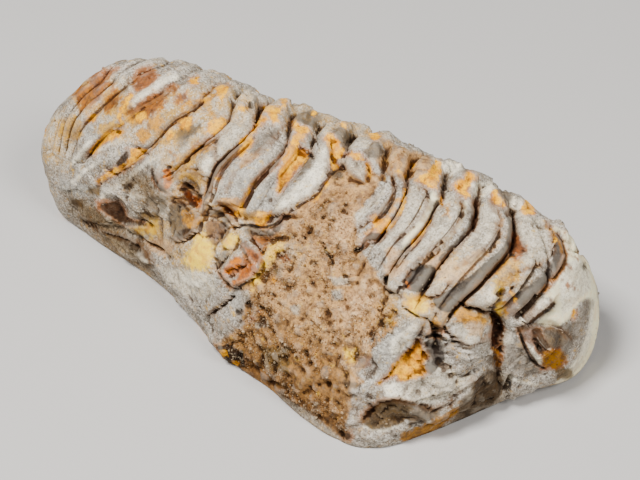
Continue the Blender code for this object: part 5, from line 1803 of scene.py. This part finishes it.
        (0, (
            (222, 274), (224, 268), (231, 262), (236, 257), (241, 258), (242, 263), (236, 268),
            (228, 275), (223, 279),
        )),
        (0, (
            (242, 270), (248, 265), (256, 262), (258, 270), (251, 277), (242, 283), (233, 287),
            (231, 283), (238, 277),
        )),
        (1.0, ((546, 353), (553, 351), (560, 350))),
        (0.9, ((220, 205), (228, 209), (233, 214), (235, 222))),
        (1.2, ((274, 279), (277, 281))),
        (1.0, ((407, 283), (409, 288))),
        (1.2, ((214, 184), (216, 190))),
    ),
    # brown ochre of the stone, made darker on the underside strip as painted shade where it faces down
    "brown ochre and shade": (
        (0, (
            (400, 441), (400, 433), (410, 431), (422, 425), (433, 420), (445, 413), (453, 407),
            (459, 408), (457, 414), (447, 422), (440, 428), (425, 436), (413, 441),
        )),
        (0, ((543, 352), (552, 350), (562, 350), (566, 358), (560, 366), (548, 368), (541, 366))),
    ),
}

# %% [markdown]
# ## Stains on the skin
# Each kind of stain becomes one number per skin point: how many pixels deep the point lies inside
# it. Between points these numbers run straight, so the edge that the material cuts from them is
# sharper than the mesh. The hidden side has no drawing, so soft noise puts patches there.

# %% Stain depths
DEPTH_LOW, DEPTH_HIGH = -5.0, 8.0
HIDDEN_FROM, HIDDEN_TO = 0.0, 0.20
# kind: (size of its patches on the hidden side in mm, the noise above which one shows)
HIDDEN_STAINS = {
    "ochre": (4.0, 0.62),
    "rust": (5.0, 0.66),
    "umber": (3.0, 0.70),
    "cream": (7.0, 0.30),
    "grey brown and shade": (5.0, 0.60),
    "warm": (9.0, 0.15),
}
HIDDEN_SLOPE = 16.0
HIDDEN_SEED = 60
# Stains and painted shade that fade slowly, with how often each is averaged with its surroundings
SOFT_STAINS = {"shade": 120, "brown sand": 60, "warm": 80, "band": 2, "grey brown and shade": 4}
SEAM_HALF_WIDTH = 2.5
NO_TINT = 0.5
# Streaks: how many run along each segment, degrees in one length, and where they fade out
STREAKS_PER_SEGMENT, STREAK_LENGTH, STREAK_SEED = 4.0, 22, 77
STREAK_FADE_X, STREAK_FADE_TURN = (-26, -16), (84, 104)


def keep(name, values):
    """Stores one number per skin point under a name that the material reads."""
    attribute = skin_mesh.attributes.new(name, "FLOAT", "POINT")
    attribute.data.foreach_set("value", np.ascontiguousarray(values, np.float32))


edges = np.zeros(len(skin_mesh.edges) * 2, np.int64)
skin_mesh.edges.foreach_get("vertices", edges)
edges = edges.reshape(-1, 2)
valence = np.bincount(edges.ravel(), minlength=len(skin)).astype(float)


def spread(values):
    """The mean of each point's neighbours."""
    total = np.bincount(edges[:, 0], values[edges[:, 1]], len(skin))
    total += np.bincount(edges[:, 1], values[edges[:, 0]], len(skin))
    return total / valence


def smoothed(values, times):
    """The numbers after each point has drawn near to its neighbours a few times."""
    for _ in range(times):
        values = 0.5 * values + 0.5 * spread(values)
    return values


hidden = 1 - smooth(away @ to_camera, HIDDEN_FROM, HIDDEN_TO)
for seed, (kind, shapes) in enumerate(STAINS.items()):
    inside = np.full(len(skin), DEPTH_LOW)
    for half_width, shape in shapes:
        points = np.array(shape, float)
        near = box_of(places, points, half_width - DEPTH_LOW)
        if half_width:
            found = half_width - from_line(places[near], points)[0]
        else:
            found = inside_area(places[near], points)
        inside[near] = np.maximum(inside[near], found)
    patches = np.full(len(skin), DEPTH_LOW)
    if kind in HIDDEN_STAINS:
        size, level = HIDDEN_STAINS[kind]
        patches = HIDDEN_SLOPE * (rough(form, size, HIDDEN_SEED + seed, 3) - level)
    if kind == "sand":
        patches = np.where(sandy > 0.5, DEPTH_HIGH, DEPTH_LOW)
    patches = np.clip(patches, DEPTH_LOW, DEPTH_HIGH)
    inside = inside * (1 - hidden) + patches * hidden
    inside = smoothed(np.clip(inside, DEPTH_LOW, DEPTH_HIGH), SOFT_STAINS.get(kind, 0))
    keep(kind, inside)
seam = np.full(len(skin), DEPTH_LOW)
for _, _, _, line in STEPS.values():
    points = np.array(line, float)
    near = box_of(places, points, SEAM_HALF_WIDTH - DEPTH_LOW)
    seam[near] = np.maximum(seam[near], SEAM_HALF_WIDTH - from_line(places[near], points)[0])
keep("seam", seam * (1 - hidden) + DEPTH_LOW * hidden)
keep("tint", np.full(len(skin), NO_TINT))
# Thin light and dark streaks run along the tail's segments
lines = lines_at(bare_turn)
k = np.clip((lines <= bare[:, :1]).sum(-1) - 1, 0, len(RIBS) - 1)
start, stop = lines[np.arange(len(k)), k], lines[np.arange(len(k)), k + 1]
row = k + np.clip((bare_x - start) / (stop - start), 0, 1)
unrolled = np.stack([row * STREAKS_PER_SEGMENT, angle_of(bare) / STREAK_LENGTH, 0 * row], -1)
fade = (1 - smooth(bare_x, *STREAK_FADE_X)) * (1 - smooth(bare_turn, *STREAK_FADE_TURN))
keep("streak", rough(unrolled, 1.0, STREAK_SEED, 2) * fade)
print("stains", ", ".join(STAINS))

# %% [markdown]
# ## Dirt and painted shade in the hollows
# Fine dirt stays where the skin dips, and shade falls there too, so the material paints both from this. Each
# point is compared with the mean of its neighbours, and the result is smoothed a few times, which finds gaps
# between ribs as well as small pits.

# %% Hollows
# How many times the heights are smoothed to find fine and wide hollows
FINE_TIMES, WIDE_FROM, WIDE_TIMES = 10, 8, 80
heights = ((skin - bare) * away).sum(-1)
fine_hollow = smoothed(heights, FINE_TIMES) - heights
wide_hollow = smoothed(heights, WIDE_TIMES) - smoothed(heights, WIDE_FROM)
keep("fine hollow", fine_hollow)
keep("wide hollow", wide_hollow)
print("hollows, mm", round(float(fine_hollow.max()), 2), round(float(wide_hollow.max()), 2))

# %% [markdown]
# ## The stone's material
# One material serves the whole fossil. Its maths is written as plain sums through a small class
# that wraps a socket. Position on the stone drives all the noise, so nothing slides with the view.

# %% Sockets as numbers
class Socket:
    """A material socket that adds and multiplies like a number."""

    def __init__(self, tree, socket):
        self.tree, self.socket = tree, socket

    def node(self, kind, settings, sockets, out=0):
        """Any other node: its type, its settings, then what its sockets take."""
        made = self.tree.nodes.new(kind)
        for name, value in settings.items():
            setattr(made, name, value)
        for name, value in sockets.items():
            if isinstance(value, Socket):
                self.tree.links.new(value.socket, made.inputs[name])
            else:
                made.inputs[name].default_value = value
        return Socket(self.tree, made.outputs[out])

    def maths(self, operation, *values):
        return self.node("ShaderNodeMath", {"operation": operation}, dict(enumerate(values)))

    def __add__(self, other):
        return self.maths("ADD", self, other)

    def __sub__(self, other):
        return self.maths("SUBTRACT", self, other)

    def __mul__(self, other):
        return self.maths("MULTIPLY", self, other)

    def __rsub__(self, other):
        return self.maths("SUBTRACT", other, self)

    __radd__ = __add__
    __rmul__ = __mul__

    def step(self, low, high):
        """0 at low and 1 at high, with a soft step between them, also where low is the larger."""
        sockets = {"Value": self, "From Min": low, "From Max": high}
        return self.node("ShaderNodeMapRange", {"interpolation_type": "SMOOTHSTEP"}, sockets)

    def noise(self, size, detail, seed):
        """Cloudy noise from 0 to 1 in lumps about size millimetres across, at this place."""
        sockets = {"Vector": self, "W": seed, "Scale": 1 / (size * MM), "Detail": detail}
        return self.node("ShaderNodeTexNoise", {"noise_dimensions": "4D"}, sockets)

    def grains(self, size, seed):
        """A random number for each grain about size millimetres across, at this place."""
        settings = {"voronoi_dimensions": "4D", "feature": "F1"}
        sockets = {"Vector": self, "W": seed, "Scale": 1 / (size * MM)}
        cell = self.node("ShaderNodeTexVoronoi", settings, sockets, "Color")
        return self.node("ShaderNodeSeparateColor", {}, {"Color": cell})

    def between(self, first, second, blend="MIX"):
        """One colour where this number is 0, and another mixed or multiplied in as it nears 1."""
        settings = {"data_type": "RGBA", "blend_type": blend}
        return self.node("ShaderNodeMix", settings, {0: self, 6: first, 7: second}, 2)

    def over(self, top, share):
        """This colour with another laid over it."""
        return share.between(self, top)

    def times(self, colour, share):
        """This colour multiplied by another."""
        return share.between(self, colour, "MULTIPLY")


def linear(red, green, blue):
    """A colour picked as 0 to 255 on a screen, as the light values that a shader takes."""
    screen = np.array([red, green, blue]) / 255
    light = np.where(screen <= 0.04045, screen / 12.92, ((screen + 0.055) / 1.055) ** 2.4)
    return (*[float(value) for value in light], 1.0)


material = bpy.data.materials.new("fossil_stone")
material.use_nodes = True
tree = material.node_tree
shader = tree.nodes["Principled BSDF"]
place = Socket(tree, tree.nodes.new("ShaderNodeTexCoord").outputs["Object"])


def kept(name):
    """One of the numbers kept on the skin."""
    return place.node("ShaderNodeAttribute", {"attribute_name": name}, {}, "Fac")


broad = place.noise(size=7.0, detail=2.0, seed=1.0)
middle = place.noise(size=1.6, detail=3.0, seed=2.0)
fine = place.noise(size=0.55, detail=2.0, seed=3.0)
ragged = place.noise(size=0.9, detail=3.0, seed=6.0)
speck = place.grains(size=0.22, seed=4.0)
big_speck = place.grains(size=0.40, seed=5.0)
print("material", material.name)

# %% [markdown]
# ## Bare limestone
# Grey limestone is never one grey. Dull clouds and a brown bloom lie under streaks that follow the
# segments, and light and dark specks like salt and pepper lie on top. A photo could give this, but
# noise keeps it free of light and shadow, and it never repeats.

# %% Bare limestone
LIMESTONE, LIMESTONE_DULL = linear(171, 163, 151), linear(134, 126, 114)
BROWN_BLOOM = linear(116, 100, 78)
STREAK_LIGHT, STREAK_DARK = linear(214, 206, 190), linear(112, 102, 90)
SPECK_LIGHT, SPECK_DARK = linear(222, 216, 202), linear(88, 80, 70)
DULL_FROM, DULL_FULL, DULL_COVER = 0.35, 0.65, 0.6
streak = kept("streak")
# colour, what drives it, where it starts and where it is full, how much it covers
LIMESTONE_LAYERS = (
    (BROWN_BLOOM, middle, 0.50, 0.72, 0.5),
    (STREAK_LIGHT, streak, 0.05, 0.5, 0.5),
    (STREAK_DARK, streak, -0.02, -0.4, 0.6),
    (SPECK_LIGHT, speck, 0.66, 0.90, 0.5),
    (SPECK_DARK, speck, 0.38, 0.10, 0.7),
    (SPECK_DARK, big_speck, 0.16, 0.08, 0.5),
)
colour = (broad.step(DULL_FROM, DULL_FULL) * DULL_COVER).between(LIMESTONE, LIMESTONE_DULL)
for layer, driver, start, full, cover in LIMESTONE_LAYERS:
    colour = colour.over(layer, driver.step(start, full) * cover)
print("limestone layers", len(LIMESTONE_LAYERS) + 1)

# %% [markdown]
# ## Stains, from the bare stone up
# Each stain follows in the order that it lies on the stone, with a ragged edge made by adding noise
# to its depth before the cut. Two colours mix inside it, since iron never dries in one shade.

# %% Stain colours
# kind of stain or painted light and shade: (colour, second colour, cover, softness and raggedness of its edge
# in pixels)
STAIN_COLOURS = {
    "sand": ((196, 150, 92), (136, 98, 58), 0.92, 2.5, 5.0),
    "brown sand": ((142, 98, 48), (92, 62, 30), 0.80, 8.0, 10.0),
    # shell cream, brightened as painted light
    "shell": ((255, 249, 210), (252, 234, 190), 0.90, 2.0, 3.0),
    "blue grey": ((170, 166, 156), (132, 128, 120), 0.75, 2.0, 4.0),
    "cream": ((208, 196, 172), (160, 150, 132), 0.70, 2.0, 4.0),
    "white": ((244, 236, 214), (212, 202, 180), 0.80, 1.8, 3.0),
    "warm": ((200, 150, 44), (190, 176, 152), 0.62, 5.0, 6.0),
    "dust": ((216, 176, 128), (184, 144, 100), 0.75, 2.5, 6.0),
    "tan": ((200, 148, 40), (150, 108, 36), 0.75, 2.5, 8.0),
    "yellow": ((255, 214, 50), (228, 170, 40), 0.85, 4.0, 9.0),
    "mauve": ((122, 90, 72), (84, 62, 50), 0.78, 2.0, 4.0),
    "olive": ((104, 78, 38), (72, 54, 26), 0.85, 2.0, 4.0),
    # grey brown of the stone, also used as painted shade on shaded faces
    "grey brown and shade": ((98, 80, 58), (66, 54, 42), 0.85, 1.8, 3.5),
    "grey": ((116, 106, 93), (92, 83, 72), 0.68, 3.0, 3.0),
    "band": ((62, 55, 50), (42, 37, 34), 0.9, 1.0, 1.8),
    "amber": ((204, 138, 20), (142, 92, 20), 0.80, 2.5, 7.0),
    "rust": ((148, 82, 30), (96, 50, 22), 0.82, 2.5, 8.0),
    "orange": ((208, 116, 4), (144, 72, 6), 0.90, 1.4, 3.0),
    "umber": ((60, 38, 20), (36, 22, 12), 0.92, 1.1, 2.2),
    "ochre": ((250, 182, 0), (216, 142, 0), 0.97, 1.2, 4.5),
    # brown ochre, darkened as painted shade on the underside
    "brown ochre and shade": ((158, 106, 14), (110, 70, 12), 0.92, 2.0, 4.0),
    # painted shade: black for cracks, holes and the undersides of ledges
    "black shade": ((22, 15, 10), (44, 28, 16), 0.92, 0.8, 1.2),
}
# The second colour fills clouds mixed from two noises, between two levels
CLOUD_MIDDLE, CLOUD_FINE, SECOND_FROM, SECOND_FULL = 0.6, 0.4, 0.42, 0.60
# Kinds that keep the stone's light specks, and kinds too smooth for dark ones
LIGHT_SPECKED, NOT_DARK_SPECKED = ("cream", "blue grey", "warm"), ("shell", "yellow")
LIGHT_SPECKS, DARK_SPECKS, STAIN_SPECK_COVER = (0.70, 0.92), (0.34, 0.06), 0.45
# Iron spreads a faint halo: how far from each kind in pixels, and its colour, raggedness and cover
HALO_REACH = {"ochre": 5.0, "rust": 5.0, "umber": 4.0}
HALO, HALO_FULL, HALO_RAGGED, HALO_COVER, HALO_CLOUD = linear(196, 116, 34), 1.0, 6, 0.25, 0.4

for kind, reach in HALO_REACH.items():
    halo = (kept(kind) + (ragged - 0.5) * HALO_RAGGED).step(-reach, HALO_FULL)
    colour = colour.over(HALO, halo * (HALO_COVER + middle * HALO_CLOUD))
cloud = (middle * CLOUD_MIDDLE + fine * CLOUD_FINE).step(SECOND_FROM, SECOND_FULL)
for kind, (main, second, cover, soft, jitter) in STAIN_COLOURS.items():
    mask = (kept(kind) + (ragged - 0.5) * (2 * jitter)).step(-soft, soft) * cover
    stain = cloud.between(linear(*main), linear(*second))
    if kind in LIGHT_SPECKED:
        stain = stain.over(SPECK_LIGHT, speck.step(*LIGHT_SPECKS) * STAIN_SPECK_COVER)
    if kind not in NOT_DARK_SPECKED:
        stain = stain.over(SPECK_DARK, speck.step(*DARK_SPECKS) * STAIN_SPECK_COVER)
    colour = colour.over(stain, mask)
print("stain colours", len(STAIN_COLOURS))

# %% [markdown]
# ## Seams, painted shade and dirt
# Iron gathers in the seams, and painted shade darkens the lower flank, the base lip and the underside, which
# face down. Hollows are darker than the faces beside them, from dirt and painted shade, and proud edges are
# rubbed lighter. The crumbs carry a tint of their own, so that no two look alike.

# %% Seams, shade and dirt
SEAM, SEAM_RAGGED, SEAM_FROM, SEAM_FULL, SEAM_COVER = linear(112, 76, 42), 12, -3.0, 2.5, 0.55
# painted shade: the colour that darkens the lower flank, the base lip and the underside
SHADE, SHADE_RAGGED, SHADE_FROM, SHADE_FULL = linear(176, 158, 132), 8, -5.0, 7.0
# painted shade and dirt: the fine hollows are darkened where shade falls and dirt stays
HOLLOW_DIRT_AND_SHADE, HOLLOW_DEEPER, HOLLOW_RAGGED, HOLLOW_COVER = linear(92, 66, 46), 2.2, 0.5, 0.85
HOLLOW_FROM, HOLLOW_FULL = 0.10, 0.75
tint, fine_dip, wide_dip = kept("tint"), kept("fine hollow"), kept("wide hollow")
# colour, what drives it, where it starts and where it is full, how much it covers
PROUD_LAYER = (linear(226, 216, 196), fine_dip, -0.05, -0.3, 0.12)
# painted shade and dirt: the wide hollows, such as the gaps between ribs, are darkened
DEEP_DIRT_AND_SHADE_LAYER = (linear(176, 142, 104), wide_dip, 0.15, 0.9, 0.65)
DARK_CRUMB_LAYER = (linear(120, 100, 84), tint, NO_TINT, 0.0, 0.7)
LIGHT_CRUMB_LAYER = (linear(226, 204, 168), tint, NO_TINT, 1.0, 0.3)


def layered(below, layer, blend):
    """A colour with one more layer, mixed or multiplied in."""
    top, driver, start, full, cover = layer
    return (driver.step(start, full) * cover).between(below, top, blend)


seam = (kept("seam") + (middle - 0.5) * SEAM_RAGGED).step(SEAM_FROM, SEAM_FULL)
colour = colour.over(SEAM, seam * SEAM_COVER)
# painted shade on the lower flank, the base lip and the underside
shade = (kept("shade") + (middle - 0.5) * SHADE_RAGGED).step(SHADE_FROM, SHADE_FULL)
colour = colour.times(SHADE, shade)
# painted shade and dirt darken the fine hollows, then the wide ones
hollow_dirt_and_shade = (fine_dip * HOLLOW_DEEPER + (fine - 0.5) * HOLLOW_RAGGED).step(HOLLOW_FROM, HOLLOW_FULL)
colour = colour.times(HOLLOW_DIRT_AND_SHADE, hollow_dirt_and_shade * HOLLOW_COVER)
colour = layered(colour, DEEP_DIRT_AND_SHADE_LAYER, "MULTIPLY")
colour = layered(colour, PROUD_LAYER, "MIX")
colour = layered(colour, DARK_CRUMB_LAYER, "MULTIPLY")
colour = layered(colour, LIGHT_CRUMB_LAYER, "MIX")
tree.links.new(colour.socket, shader.inputs["Base Color"])
print("the colour uses", len(tree.nodes), "nodes")

# %% [markdown]
# ## Fine grain
# Grit smaller than the mesh is left to a bump, and roughness varies a little with it. The ochre
# is a smoother crust. Everything else about the surface stays constant.

# %% Grain and roughness
BUMP_REACH = 0.25 * MM
GRIT_SHARE, FINE_SHARE, SPECK_SHARE = 0.5, 0.5, 0.2
GRIT_ON_STONE, GRIT_ADDED_BY_SAND = 0.45, 0.55
SAND_FROM, SAND_FULL = -2.0, 3.0
ROUGHNESS, ROUGHNESS_SPREAD, OCHRE_SMOOTHER, OCHRE_FULL = 0.72, 0.25, 0.1, 3.0
STONE_IOR, STONE_SHINE = 1.45, 0.1
grit = place.noise(size=0.22, detail=2.0, seed=8.0) * GRIT_SHARE + fine * FINE_SHARE + speck * SPECK_SHARE
grit = grit * (GRIT_ON_STONE + kept("sand").step(SAND_FROM, SAND_FULL) * GRIT_ADDED_BY_SAND)
grit_bump = place.node("ShaderNodeBump", {}, {"Height": grit, "Distance": BUMP_REACH, "Strength": 1.0})
tree.links.new(grit_bump.socket, shader.inputs["Normal"])
rough_skin = ROUGHNESS + fine * ROUGHNESS_SPREAD - kept("ochre").step(0.0, OCHRE_FULL) * OCHRE_SMOOTHER
tree.links.new(rough_skin.socket, shader.inputs["Roughness"])
shader.inputs["IOR"].default_value = STONE_IOR
shader.inputs["Specular IOR Level"].default_value = STONE_SHINE
skin_mesh.materials.append(material)
print("bump reaches", BUMP_REACH / MM, "mm")

# %% [markdown]
# ## Loose crumbs
# Sandstone sheds grains, and real ones catch light and throw small shadows. Geometry Nodes
# scatters little stones over the sandy skin, with more of them where the sand is deep, and each
# takes the stain of the spot that it lies on. A fixed seed keeps them in place.

# %% Crumbs as nodes
# piece: (how many crumbs, smallest and largest reach, seed of the scatter)
CRUMB_SIZES = {"crumbs": (1500, 0.12 * MM, 0.32 * MM, 3), "fine_crumbs": (8000, 0.06 * MM, 0.15 * MM, 5)}
FLATTEST, ROUNDEST = 0.55, 0.95
FULL_TURN = 6.28
SIZE_SEED, FLAT_SEED, TINT_SEED = 2, 3, 4
FACES_PER_CRUMB = 20
CRUMB_INPUTS = {
    "Geometry": "NodeSocketGeometry",
    "Density": "NodeSocketFloat",
    "Smallest": "NodeSocketFloat",
    "Largest": "NodeSocketFloat",
    "Seed": "NodeSocketInt",
    "Material": "NodeSocketMaterial",
}


def crumb_tree():
    """A node tree that scatters flattened little stones over a mesh and makes them one mesh."""
    made = bpy.data.node_groups.new("scatter crumbs", "GeometryNodeTree")
    for label, socket_type in CRUMB_INPUTS.items():
        made.interface.new_socket(label, in_out="INPUT", socket_type=socket_type)
    made.interface.new_socket("Geometry", in_out="OUTPUT", socket_type="NodeSocketGeometry")
    start = made.nodes.new("NodeGroupInput").outputs
    end = made.nodes.new("NodeGroupOutput")

    def node(kind, settings, sockets, out=0):
        """A node with its settings and with what its sockets take, and one of its outputs."""
        new = made.nodes.new(kind)
        for name, value in settings.items():
            setattr(new, name, value)
        usable = {socket.name: socket for socket in new.inputs if socket.enabled}
        for name, value in sockets.items():
            socket = usable[name] if isinstance(name, str) else new.inputs[name]
            if isinstance(value, bpy.types.NodeSocket):
                made.links.new(value, socket)
            else:
                socket.default_value = value
        return [socket for socket in new.outputs if socket.enabled][out]

    def random_number(low, high, seed):
        values = {"Min": low, "Max": high, "Seed": seed}
        return node("FunctionNodeRandomValue", {"data_type": "FLOAT"}, values)

    def product(a, b):
        return node("ShaderNodeMath", {"operation": "MULTIPLY"}, {0: a, 1: b})

    amount = node("GeometryNodeInputNamedAttribute", {"data_type": "FLOAT"}, {"Name": "crumb amount"})
    sockets = {"Mesh": start["Geometry"], "Density": product(amount, start["Density"]), "Seed": start["Seed"]}
    points = node("GeometryNodeDistributePointsOnFaces", {}, sockets)
    pebble = node("GeometryNodeMeshIcoSphere", {}, {"Radius": 1.0, "Subdivisions": 1})
    any_turn = {"Max": (FULL_TURN, FULL_TURN, FULL_TURN)}
    turn = node("FunctionNodeRandomValue", {"data_type": "FLOAT_VECTOR"}, any_turn)
    size = random_number(start["Smallest"], start["Largest"], SIZE_SEED)
    flat_size = product(size, random_number(FLATTEST, ROUNDEST, FLAT_SEED))
    shape = node("ShaderNodeCombineXYZ", {}, {"X": size, "Y": size, "Z": flat_size})
    sockets = {"Points": points, "Instance": pebble, "Rotation": turn, "Scale": shape}
    scattered = node("GeometryNodeInstanceOnPoints", {}, sockets)
    sockets = {"Geometry": scattered, "Name": "tint", "Value": random_number(0.0, 1.0, TINT_SEED)}
    tinted = node("GeometryNodeStoreNamedAttribute", {"data_type": "FLOAT", "domain": "INSTANCE"}, sockets)
    whole = node("GeometryNodeRealizeInstances", {}, {"Geometry": tinted})
    dressed = node("GeometryNodeSetMaterial", {}, {"Geometry": whole, "Material": start["Material"]})
    made.links.new(dressed, end.inputs["Geometry"])
    return made


scatter = crumb_tree()
print("crumb tree", len(scatter.nodes), "nodes")

# %% [markdown]
# ## Crumbs on the skin
# A number on the skin says how thick the crumbs lie: a few anywhere, more on the sand and in its
# hollows, none on the foot. The scatter is then turned into a plain mesh, and every piece rides on
# the solid and stands in its place.

# %% Crumbs on the skin
CRUMBS_ANYWHERE, CRUMBS_IN_HOLLOWS = 0.015, 0.10
SANDY_FROM, SANDY_FULL = 0.3, 0.8
DIP_FROM, DIP_FULL = 0.1, 0.4
CRUMB_FOOT_LOW, CRUMB_FOOT_HIGH = 1.5, 3.5
# Crumbs gather in patches: their size in mm, their seed, and the noise where they start and are full
PATCH_SIZE, PATCH_SEED, PATCH_FROM, PATCH_FULL = 3.0, 90, -0.7, 0.5

crumb_amount = CRUMBS_ANYWHERE + smooth(sandy, SANDY_FROM, SANDY_FULL)
crumb_amount = crumb_amount + CRUMBS_IN_HOLLOWS * smooth(fine_hollow, DIP_FROM, DIP_FULL)
crumb_amount = crumb_amount * smooth(form[:, 2], CRUMB_FOOT_LOW, CRUMB_FOOT_HIGH)
crumb_amount = crumb_amount * smooth(noise(form, PATCH_SIZE, PATCH_SEED), PATCH_FROM, PATCH_FULL)
keep("crumb amount", crumb_amount)
sockets_of = {item.name: item.identifier for item in scatter.interface.items_tree if item.in_out == "INPUT"}
areas = np.zeros(len(skin_mesh.polygons))
skin_mesh.polygons.foreach_get("area", areas)
covered = float(areas.sum()) * float(crumb_amount.mean())
pieces = [stone]
for name, (count, smallest, largest, seed) in CRUMB_SIZES.items():
    source = bpy.data.objects.new(name, skin_mesh.copy())
    bpy.context.scene.collection.objects.link(source)
    modifier = source.modifiers.new("scatter", "NODES")
    modifier.node_group = scatter
    modifier[sockets_of["Density"]] = count / covered
    modifier[sockets_of["Smallest"]] = smallest
    modifier[sockets_of["Largest"]] = largest
    modifier[sockets_of["Seed"]] = seed
    modifier[sockets_of["Material"]] = material
    bpy.context.view_layer.update()
    graph = bpy.context.evaluated_depsgraph_get()
    scattered_mesh = bpy.data.meshes.new_from_object(source.evaluated_get(graph), depsgraph=graph)
    source.modifiers.clear()
    source.data = scattered_mesh
    pieces.append(source)
    print(name, len(scattered_mesh.polygons) // FACES_PER_CRUMB, "stones")
skin_mesh.attributes.remove(skin_mesh.attributes["crumb amount"])
for piece in pieces:
    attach(piece, "root")
    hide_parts("trilobite_fossil")

# %% [markdown]
# ## The floor
# The floor is one sheet.

# %% Floor and last lines
floor_mesh = bpy.data.meshes.new("floor")
corners = [(x * FLOOR_HALF, y * FLOOR_HALF, 0) for x, y in ((-1, -1), (1, -1), (1, 1), (-1, 1))]
floor_mesh.from_pydata(corners, [], [(0, 1, 2, 3)])
floor = bpy.data.objects.new("floor", floor_mesh)
bpy.context.scene.collection.objects.link(floor)
floor_material = bpy.data.materials.new("pale floor")
floor_material.use_nodes = True
floor_shader = floor_material.node_tree.nodes["Principled BSDF"].inputs
floor_shader["Base Color"].default_value = FLOOR_COLOUR
floor_shader["Roughness"].default_value = FLOOR_ROUGHNESS
floor_mesh.materials.append(floor_material)
